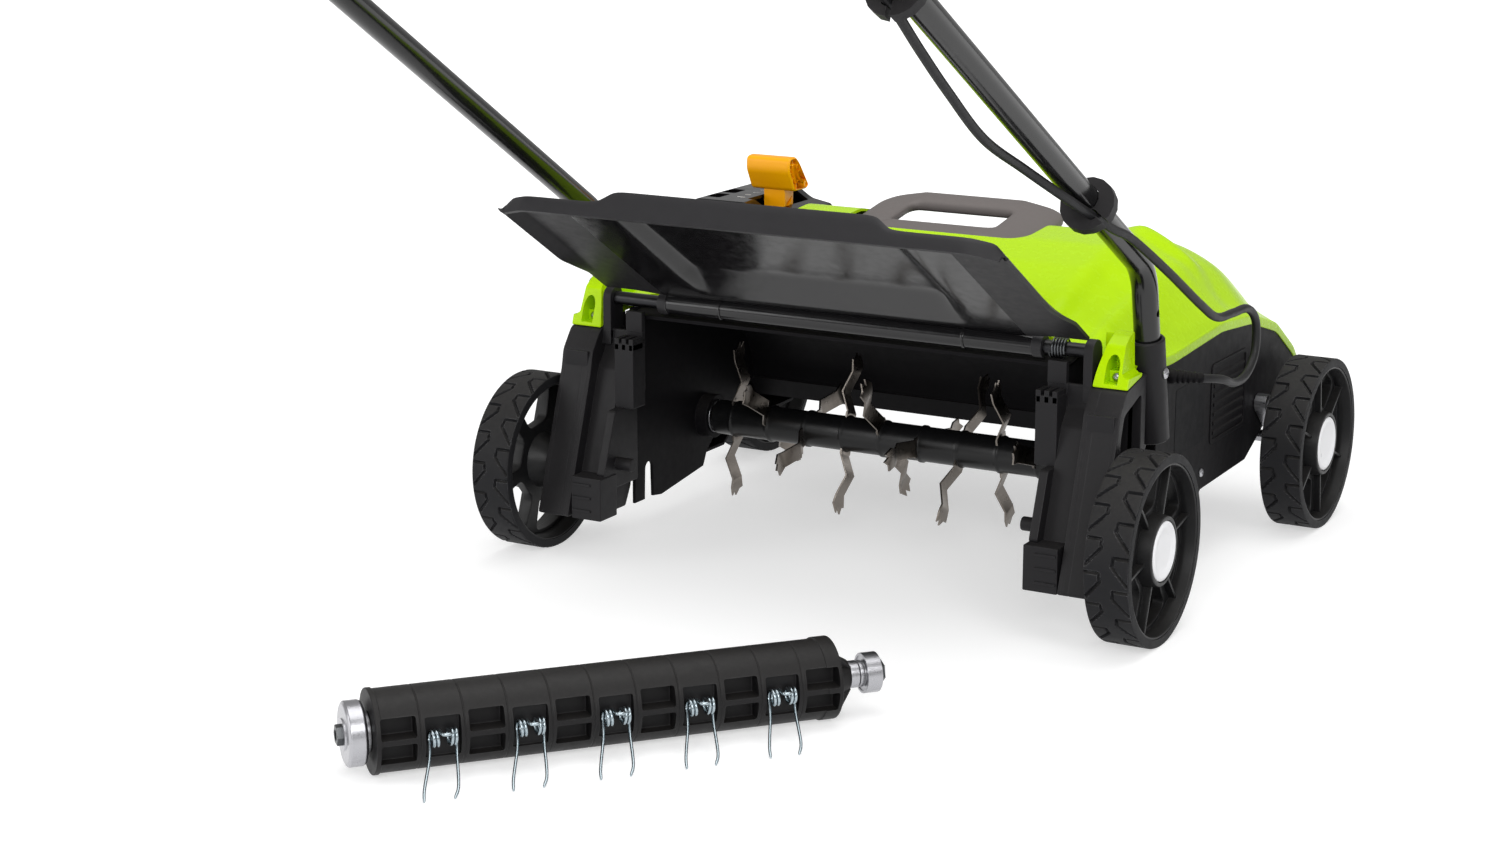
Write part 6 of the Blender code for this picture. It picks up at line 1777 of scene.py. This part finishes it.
class Underside(Section):
    """The bladed rotor and the belt drive."""

    def build_rotor(self) -> None:
        """Adds the rotor tube with a weld collar at each blade, and the blades, their eyes cut back to it."""
        profile = [
            (-0.215, 0.0), (-0.215, 0.0066), (-0.214, 0.0072), (-0.1955, 0.0072), (-0.1955, 0.0148),
            (-0.1943, ROTOR_RADIUS)
        ]
        for i in range(BLADES):
            x = BLADE_START + BLADE_STEP * i
            profile += [
                (x - 0.003, ROTOR_RADIUS), (x - 0.0012, 0.0172), (x + 0.0012, 0.0172), (x + 0.003, ROTOR_RADIUS)
            ]
        profile += [
            (0.2003, ROTOR_RADIUS), (0.2015, 0.0148), (0.2015, 0.009), (0.2365, 0.009), (0.2375, 0.0082),
            (0.2375, 0.0)
        ]
        shaft = placed(lathe(profile, 64), Matrix.Translation((0.0, ROTOR_Y, ROTOR_Z)))
        self.add("rotor_tube", shaft, Finish.ROTOR, "rotor", ["rotor_shaft"])
        for i in range(BLADES):
            node = f"blade_{i + 1:02d}"
            turn = Matrix.Translation((BLADE_START + BLADE_STEP * i, ROTOR_Y, ROTOR_Z))
            turn = turn @ Matrix.Rotation(BLADE_STAGGER * i, 4, "X")
            rims = [block((-0.003, 0.003), side, (-0.0212, 0.0212), 0.0001) for side in BLADE_EYE_RIMS]
            rims = [placed(rim, turn) for rim in rims]
            steel = carved(sharpened(node, 0.00035, 2, 50.0), *rims)
            self.add(f"{node}_steel", steel, Finish.BLADE, "rotor", [node])

    def build_drive(self) -> None:
        """Adds the driven pulley and the rotor's bearing."""
        pulley = sharpened("driven_pulley", 0.0006, 2, 40.0)
        self.add("pulley_wheel", pulley, Finish.PULLEY, "rotor", ["driven_pulley"])
        bearing = self.bearing(-0.209, -0.197, 0.0155, 0.0074, (ROTOR_Y, ROTOR_Z))
        self.add("bearing_ring", bearing, Finish.AXLE, "chassis", ["rotor_bearing"])

    @staticmethod
    def bearing(low: float, high: float, radius: float, bore: float, middle: tuple[float, float]) -> Mesh:
        """A sealed ball bearing: two rings with a seal sunk between them."""
        step = (radius - bore) * 0.26
        t = 0.0008
        profile = [
            (low, bore), (low, bore + step), (low + t, bore + step), (low + t, radius - step),
            (low, radius - step), (low, radius)
        ]
        profile += [(high - (x - low), r) for x, r in reversed(profile)]
        return placed(lathe(profile, 56, closed=True, soft=0.0004), Matrix.Translation((0.0, *middle)))

    def build(self) -> None:
        """Adds the rotor and the drive."""
        self.build_rotor()
        self.build_drive()


class TineRoller(Section):
    """The spare roller on the floor: pocketed drum, end fittings and double wire tines."""

    frame = Matrix.Translation(Vector(ROLLER_START)) @ Matrix.Rotation(ROLLER_TURN, 4, "Z")

    @staticmethod
    def spring_line() -> list[np.ndarray]:
        """The corner points of one double tine along X, its legs towards -Y and down."""
        leg_end = np.array((0.0, -0.072, -FLANGE_RADIUS + TINE_WIRE + 0.0002))
        centre = np.array((0.0, -0.03, 0.0))
        heading = (leg_end - centre) / np.linalg.norm(leg_end - centre)
        start = math.atan2(heading[1], -heading[2])
        lean = np.array((-0.014, 0.0, 0.0))
        inner, outer, steps = 0.003, 0.01, 60
        sweep = 4 * math.pi + math.radians(150)
        coil = []
        for i in range(steps + 1):
            angle = start + sweep * i / steps
            x = -outer + (outer - inner) * i / steps
            coil.append(centre + np.array((x, TINE_COIL * math.cos(angle), TINE_COIL * math.sin(angle))))
        flow = (coil[0] - coil[1]) * (0.0, 1.0, 1.0)
        knee = coil[0] + flow / np.linalg.norm(flow) * 0.012
        length = float(np.linalg.norm(leg_end - centre))
        tip = np.array((-outer - 0.001, leg_end[1], leg_end[2]))
        middle = knee * 0.28 + tip * 0.72 + np.array((-0.0015, 0.0, 0.0))
        half = [tip + lean, middle + lean * 0.72, knee + lean * 0.15, *coil]
        ahead = (coil[-1] - coil[-2]) * (0.0, 1.0, 1.0)
        ahead /= np.linalg.norm(ahead)
        reach = coil[-1] + ahead * length * 0.16
        half += [reach, reach + ahead * 0.0018 + np.array((0.0014, 0.0, 0.0))]
        other = [p * (-1, 1, 1) for p in reversed(half)]
        other[-3:] = [p + 2 * s * lean for p, s in zip(other[-3:], (0.15, 0.72, 1.0))]
        return half + other

    def build_drum(self) -> None:
        """Adds the drum with its pockets, its seams and the ribbed cone of its flange."""
        end = DRUM_LENGTH + 0.014
        profile = [(0.0, 0.0085), (0.0, FLANGE_RADIUS), (0.004, FLANGE_RADIUS), (0.004, DRUM_RADIUS)]
        for k in range(1, POCKETS):
            x = POCKET_PITCH * k
            profile += [(x - 0.0007, DRUM_RADIUS), (x, DRUM_RADIUS - 0.0006), (x + 0.0007, DRUM_RADIUS)]
        profile.append((DRUM_LENGTH - 0.012, DRUM_RADIUS))
        profile += [
            (DRUM_LENGTH - 0.012, FLANGE_RADIUS), (DRUM_LENGTH, FLANGE_RADIUS), (DRUM_LENGTH, 0.02),
            (end, 0.012), (end, 0.0085)
        ]
        drum = lathe(profile, 112, closed=True, soft=0.0009)
        line = self.spring_line()
        floor = max(float(p[1]) for p in line) + TINE_WIRE + 0.0002
        cuts = []
        for i in range(POCKETS):
            low = POCKET_PITCH * i + 0.003
            x = (low, low + POCKET_PITCH - 0.006)
            if i % 2:
                cuts.append(block(x, (-0.045, floor), (-0.015, 0.015), 0.0014))
            else:
                cuts += [block(x, (-0.045, -0.016), z, 0.0014) for z in ((0.002, 0.017), (-0.017, -0.002))]
        parts = [carved(drum, *cuts)]
        for k in range(4):
            fin = [
                (DRUM_LENGTH - 0.0004, 0.011), (DRUM_LENGTH - 0.0004, 0.029), (DRUM_LENGTH + 0.0008, 0.029),
                (end, 0.0128), (end, 0.011)
            ]
            rib = plate([[(z, x) for x, z in fin]], -0.001, 0.001, axis="Y", bevel=0.0004)
            turned = placed(rib, Matrix(((0, 0, 1, 0), (0, 1, 0, 0), (1, 0, 0, 0), (0, 0, 0, 1))))
            parts.append(placed(turned, Matrix.Rotation(math.pi / 4 + math.pi / 2 * k, 4, "X")))
        self.add("drum_shell", placed(joined(*parts), self.frame), Finish.DRUM, "tine_roller", ["roller_drum"])

    def build_fittings(self) -> None:
        """Adds the drive disc with its hexagon, the washers, the bearing and the nut."""
        start = DRUM_LENGTH + 0.026
        core = [
            (-0.004, 0.0), (-0.004, 0.015), (-0.0003, 0.015), (-0.0003, 0.008), (DRUM_LENGTH + 0.0145, 0.008),
            (DRUM_LENGTH + 0.0145, 0.0105)
        ]
        core += [
            (start - 0.0045, 0.0105), (start - 0.0045, 0.0075), (start - 0.0038, 0.0075),
            (start - 0.0038, 0.0102), (start - 0.0003, 0.0102)
        ]
        core += [(start - 0.0003, 0.007), (start + 0.0123, 0.007), (start + 0.0123, 0.0)]
        disc = [
            (-0.018, 0.0), (-0.018, 0.0215), (-0.0165, 0.024), (-0.006, 0.024), (-0.004, 0.0225), (-0.004, 0.0)
        ]
        hexagon, nut = (
            [(r * math.cos(math.pi / 3 * k + turn), r * math.sin(math.pi / 3 * k + turn)) for k in range(6)]
            for r, turn in ((0.0079, 0.0), (0.0094, 0.3))
        )
        boss = lathe([(-0.019, 0.0), (-0.019, 0.0112), (-0.018, 0.012), (-0.018, 0.0)], 48)
        socket = lathe([(-0.024, 0.0), (-0.024, 0.0042), (-0.0215, 0.0042), (-0.0215, 0.0)], 32)
        bolt = carved(plate([hexagon], -0.0235, -0.0175, bevel=0.0008), socket)
        parts = [lathe(core, 56, soft=0.0005), lathe(disc, 72, soft=0.0008), boss]
        bolts = [bolt, plate([nut], start + 0.0123, start + 0.0168, bevel=0.0006)]
        bolts.append(rod((start + 0.015, 0.0, 0.0), (start + 0.018, 0.0, 0.0), 0.0048, 32, 0.0008))
        self.add(
            "roller_bolts", placed(joined(*bolts), self.frame), Finish.AXLE, "tine_roller", look="dark_steel"
        )
        self.add(
            "roller_fittings", placed(joined(*parts), self.frame), Finish.AXLE, "tine_roller", ["roller_shaft"]
        )
        ring = Underside.bearing(start, start + 0.012, 0.0155, 0.0073, (0.0, 0.0))
        self.add(
            "roller_bearing_ring", placed(ring, self.frame), Finish.AXLE, "tine_roller", ["roller_bearing"]
        )

    def build_tines(self) -> None:
        """Adds the five double springs, their tips flattened."""
        path = spline(self.spring_line(), 0.0012)
        steps = lengths(path)
        away = np.minimum(steps, steps[-1] - steps)
        radii = TINE_WIRE * between(away, ((0.0, 0.62), (0.001, 0.82), (0.004, 1.0)))
        wire = tube(path, radii, 14)
        for number, pocket in enumerate(range(1, POCKETS, 2)):
            shift = Matrix.Translation((POCKET_PITCH * (pocket + 0.5), 0.0, 0.0))
            node = f"tine_spring_{number + 1}"
            self.add(f"{node}_wire", placed(wire, self.frame @ shift), Finish.SPRING, "tine_roller", [node])

    def build(self) -> None:
        """Adds the roller."""
        self.build_drum()
        self.build_fittings()
        self.build_tines()


class Remaining:
    """Finishes and softly rounded edges for the solids that are shown as they are."""

    FINISHES = {
        "left_rear_stub_axle": Finish.AXLE,
        "right_rear_stub_axle": Finish.AXLE,
        "front_axle": Finish.AXLE,
        "motor_case": Finish.MOTOR,
        "motor_shaft": Finish.AXLE,
        "drive_belt": Finish.BELT,
    }

    def __init__(self, paint: Paint) -> None:
        self.paint = paint

    def build(self) -> None:
        """Gives each of these solids its material, and a bevel that leaves its mesh alone."""
        for name, finish in self.FINISHES.items():
            node = frame["nodes"][name]
            node.data.materials.clear()
            node.data.materials.append(self.paint.material(finish.value))
            rounding = node.modifiers.new("rounding", "BEVEL")
            rounding.width = 0.0006
            rounding.segments = 2
            rounding.limit_method = "ANGLE"
            rounding.angle_limit = math.radians(50.0)
            smooth = node.modifiers.new("normals", "WEIGHTED_NORMAL")
            smooth.keep_sharp = True


class Studio:
    """A plain pale floor, soft lamps, a white surround and the camera at the photograph's view."""

    FLOOR_COLOUR = 0.62
    FLOOR_REACH = 15.0
    FLOOR_FADE = {"From_Min": 0.7, "From_Max": 3.0, "To_Min": 0.53, "To_Max": 1.0}
    SURROUND_LIGHT = 0.42
    AIM = Vector((0.0, 0.0, 0.25))
    LAMPS = (
        ("overhead", (0.2, 0.2, 2.6), 2.6, 36.0),
        ("key", (2.4, -1.4, 2.0), 1.5, 22.0),
        ("fill", (-2.2, -2.0, 1.1), 1.8, 22.0),
        ("front", (1.3, -2.7, 1.6), 1.6, 40.0),
    )
    LENS, SENSOR = 66.9, 36.0
    CAMERA_PLACE = (1.096, -1.8246, 0.719)
    CAMERA_TURN = (math.radians(76.24), 0.0, math.radians(29.7))

    def build_floor(self) -> None:
        """Adds the floor, lifted to white for the camera, its shadow kept."""
        reach = (-self.FLOOR_REACH, self.FLOOR_REACH)
        corners = np.array([[(x, y, 0.0) for y in reach] for x in reach])
        floor = bpy.data.objects.new("floor", surface(corners))
        bpy.context.scene.collection.objects.link(floor)
        material = bpy.data.materials.new("pale_floor")
        material.use_nodes = True
        tree = material.node_tree
        feed(
            tree.nodes["Principled BSDF"],
            Base_Color=(*[self.FLOOR_COLOUR] * 3, 1.0),
            Roughness=0.9,
            Specular_IOR_Level=0.1,
        )
        place = added(tree, "TexCoord", {}).outputs["Object"]
        away = added(tree, "VectorMath", {"operation": "LENGTH"}, place).outputs["Value"]
        fade = added(tree, "MapRange", {"interpolation_type": "SMOOTHSTEP"}, Value=away, **self.FLOOR_FADE)
        strength = maths(tree, "MULTIPLY", fade.outputs["Result"], self.seen(tree))
        lift = added(tree, "Emission", {}, Strength=strength)
        total = added(tree, "AddShader", {}, tree.nodes["Principled BSDF"].outputs[0], lift.outputs[0])
        feed(tree.nodes["Material Output"], Surface=total.outputs[0])
        floor.data.materials.append(material)

    @staticmethod
    def seen(tree: bpy.types.NodeTree):
        """1 for camera, glossy and transmission rays, and 0 for the others."""
        rays = added(tree, "LightPath", {}).outputs
        shiny = maths(tree, "MAXIMUM", rays["Is Camera Ray"], rays["Is Glossy Ray"])
        return maths(tree, "MAXIMUM", shiny, rays["Is Transmission Ray"])

    def build_world(self) -> None:
        """Makes the surround white for the camera and a soft grey where it lights."""
        world = bpy.data.worlds.new("surround")
        bpy.context.scene.world = world
        world.use_nodes = True
        tree = world.node_tree
        tree.nodes.clear()
        white = (1.0, 1.0, 1.0, 1.0)
        soft, full = (
            added(tree, "Background", {}, white, level).outputs[0] for level in (self.SURROUND_LIGHT, 1.0)
        )
        ray = added(tree, "LightPath", {}).outputs["Is Camera Ray"]
        added(tree, "OutputWorld", {}, added(tree, "MixShader", {}, ray, soft, full).outputs[0])

    def build_lamps(self) -> None:
        """Adds the lamps: one overhead, a key to the right, a low fill to the left and one by the camera."""
        for name, place, size, power in self.LAMPS:
            lamp = bpy.data.lights.new(name, "AREA")
            lamp.shape = "DISK"
            lamp.size = size
            lamp.energy = power
            obj = bpy.data.objects.new(name, lamp)
            obj.location = place
            obj.rotation_euler = (self.AIM - Vector(place)).to_track_quat("-Z", "Y").to_euler()
            bpy.context.scene.collection.objects.link(obj)

    def build_camera(self) -> None:
        """Adds the camera and makes it the scene's."""
        data = bpy.data.cameras.new("camera")
        data.lens, data.sensor_width = self.LENS, self.SENSOR
        camera = bpy.data.objects.new("camera", data)
        camera.location = self.CAMERA_PLACE
        camera.rotation_euler = self.CAMERA_TURN
        bpy.context.scene.collection.objects.link(camera)
        bpy.context.scene.camera = camera

    def build(self) -> None:
        """Adds the studio."""
        self.build_floor()
        self.build_world()
        self.build_lamps()
        self.build_camera()
        bpy.context.scene.view_settings.view_transform = "Standard"


def main() -> None:
    """Builds the scene."""
    logging.basicConfig(level=logging.INFO)
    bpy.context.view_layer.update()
    paint = Paint()
    shop = Workshop(paint)
    for builder in (
        Wheels(shop), Chassis(shop), Controls(shop), HandleFrame(shop), Underside(shop), TineRoller(shop),
        Remaining(paint)
    ):
        builder.build()
        LOG.info("%s done", type(builder).__name__)
    Studio().build()


if __name__ == "__main__":
    main()
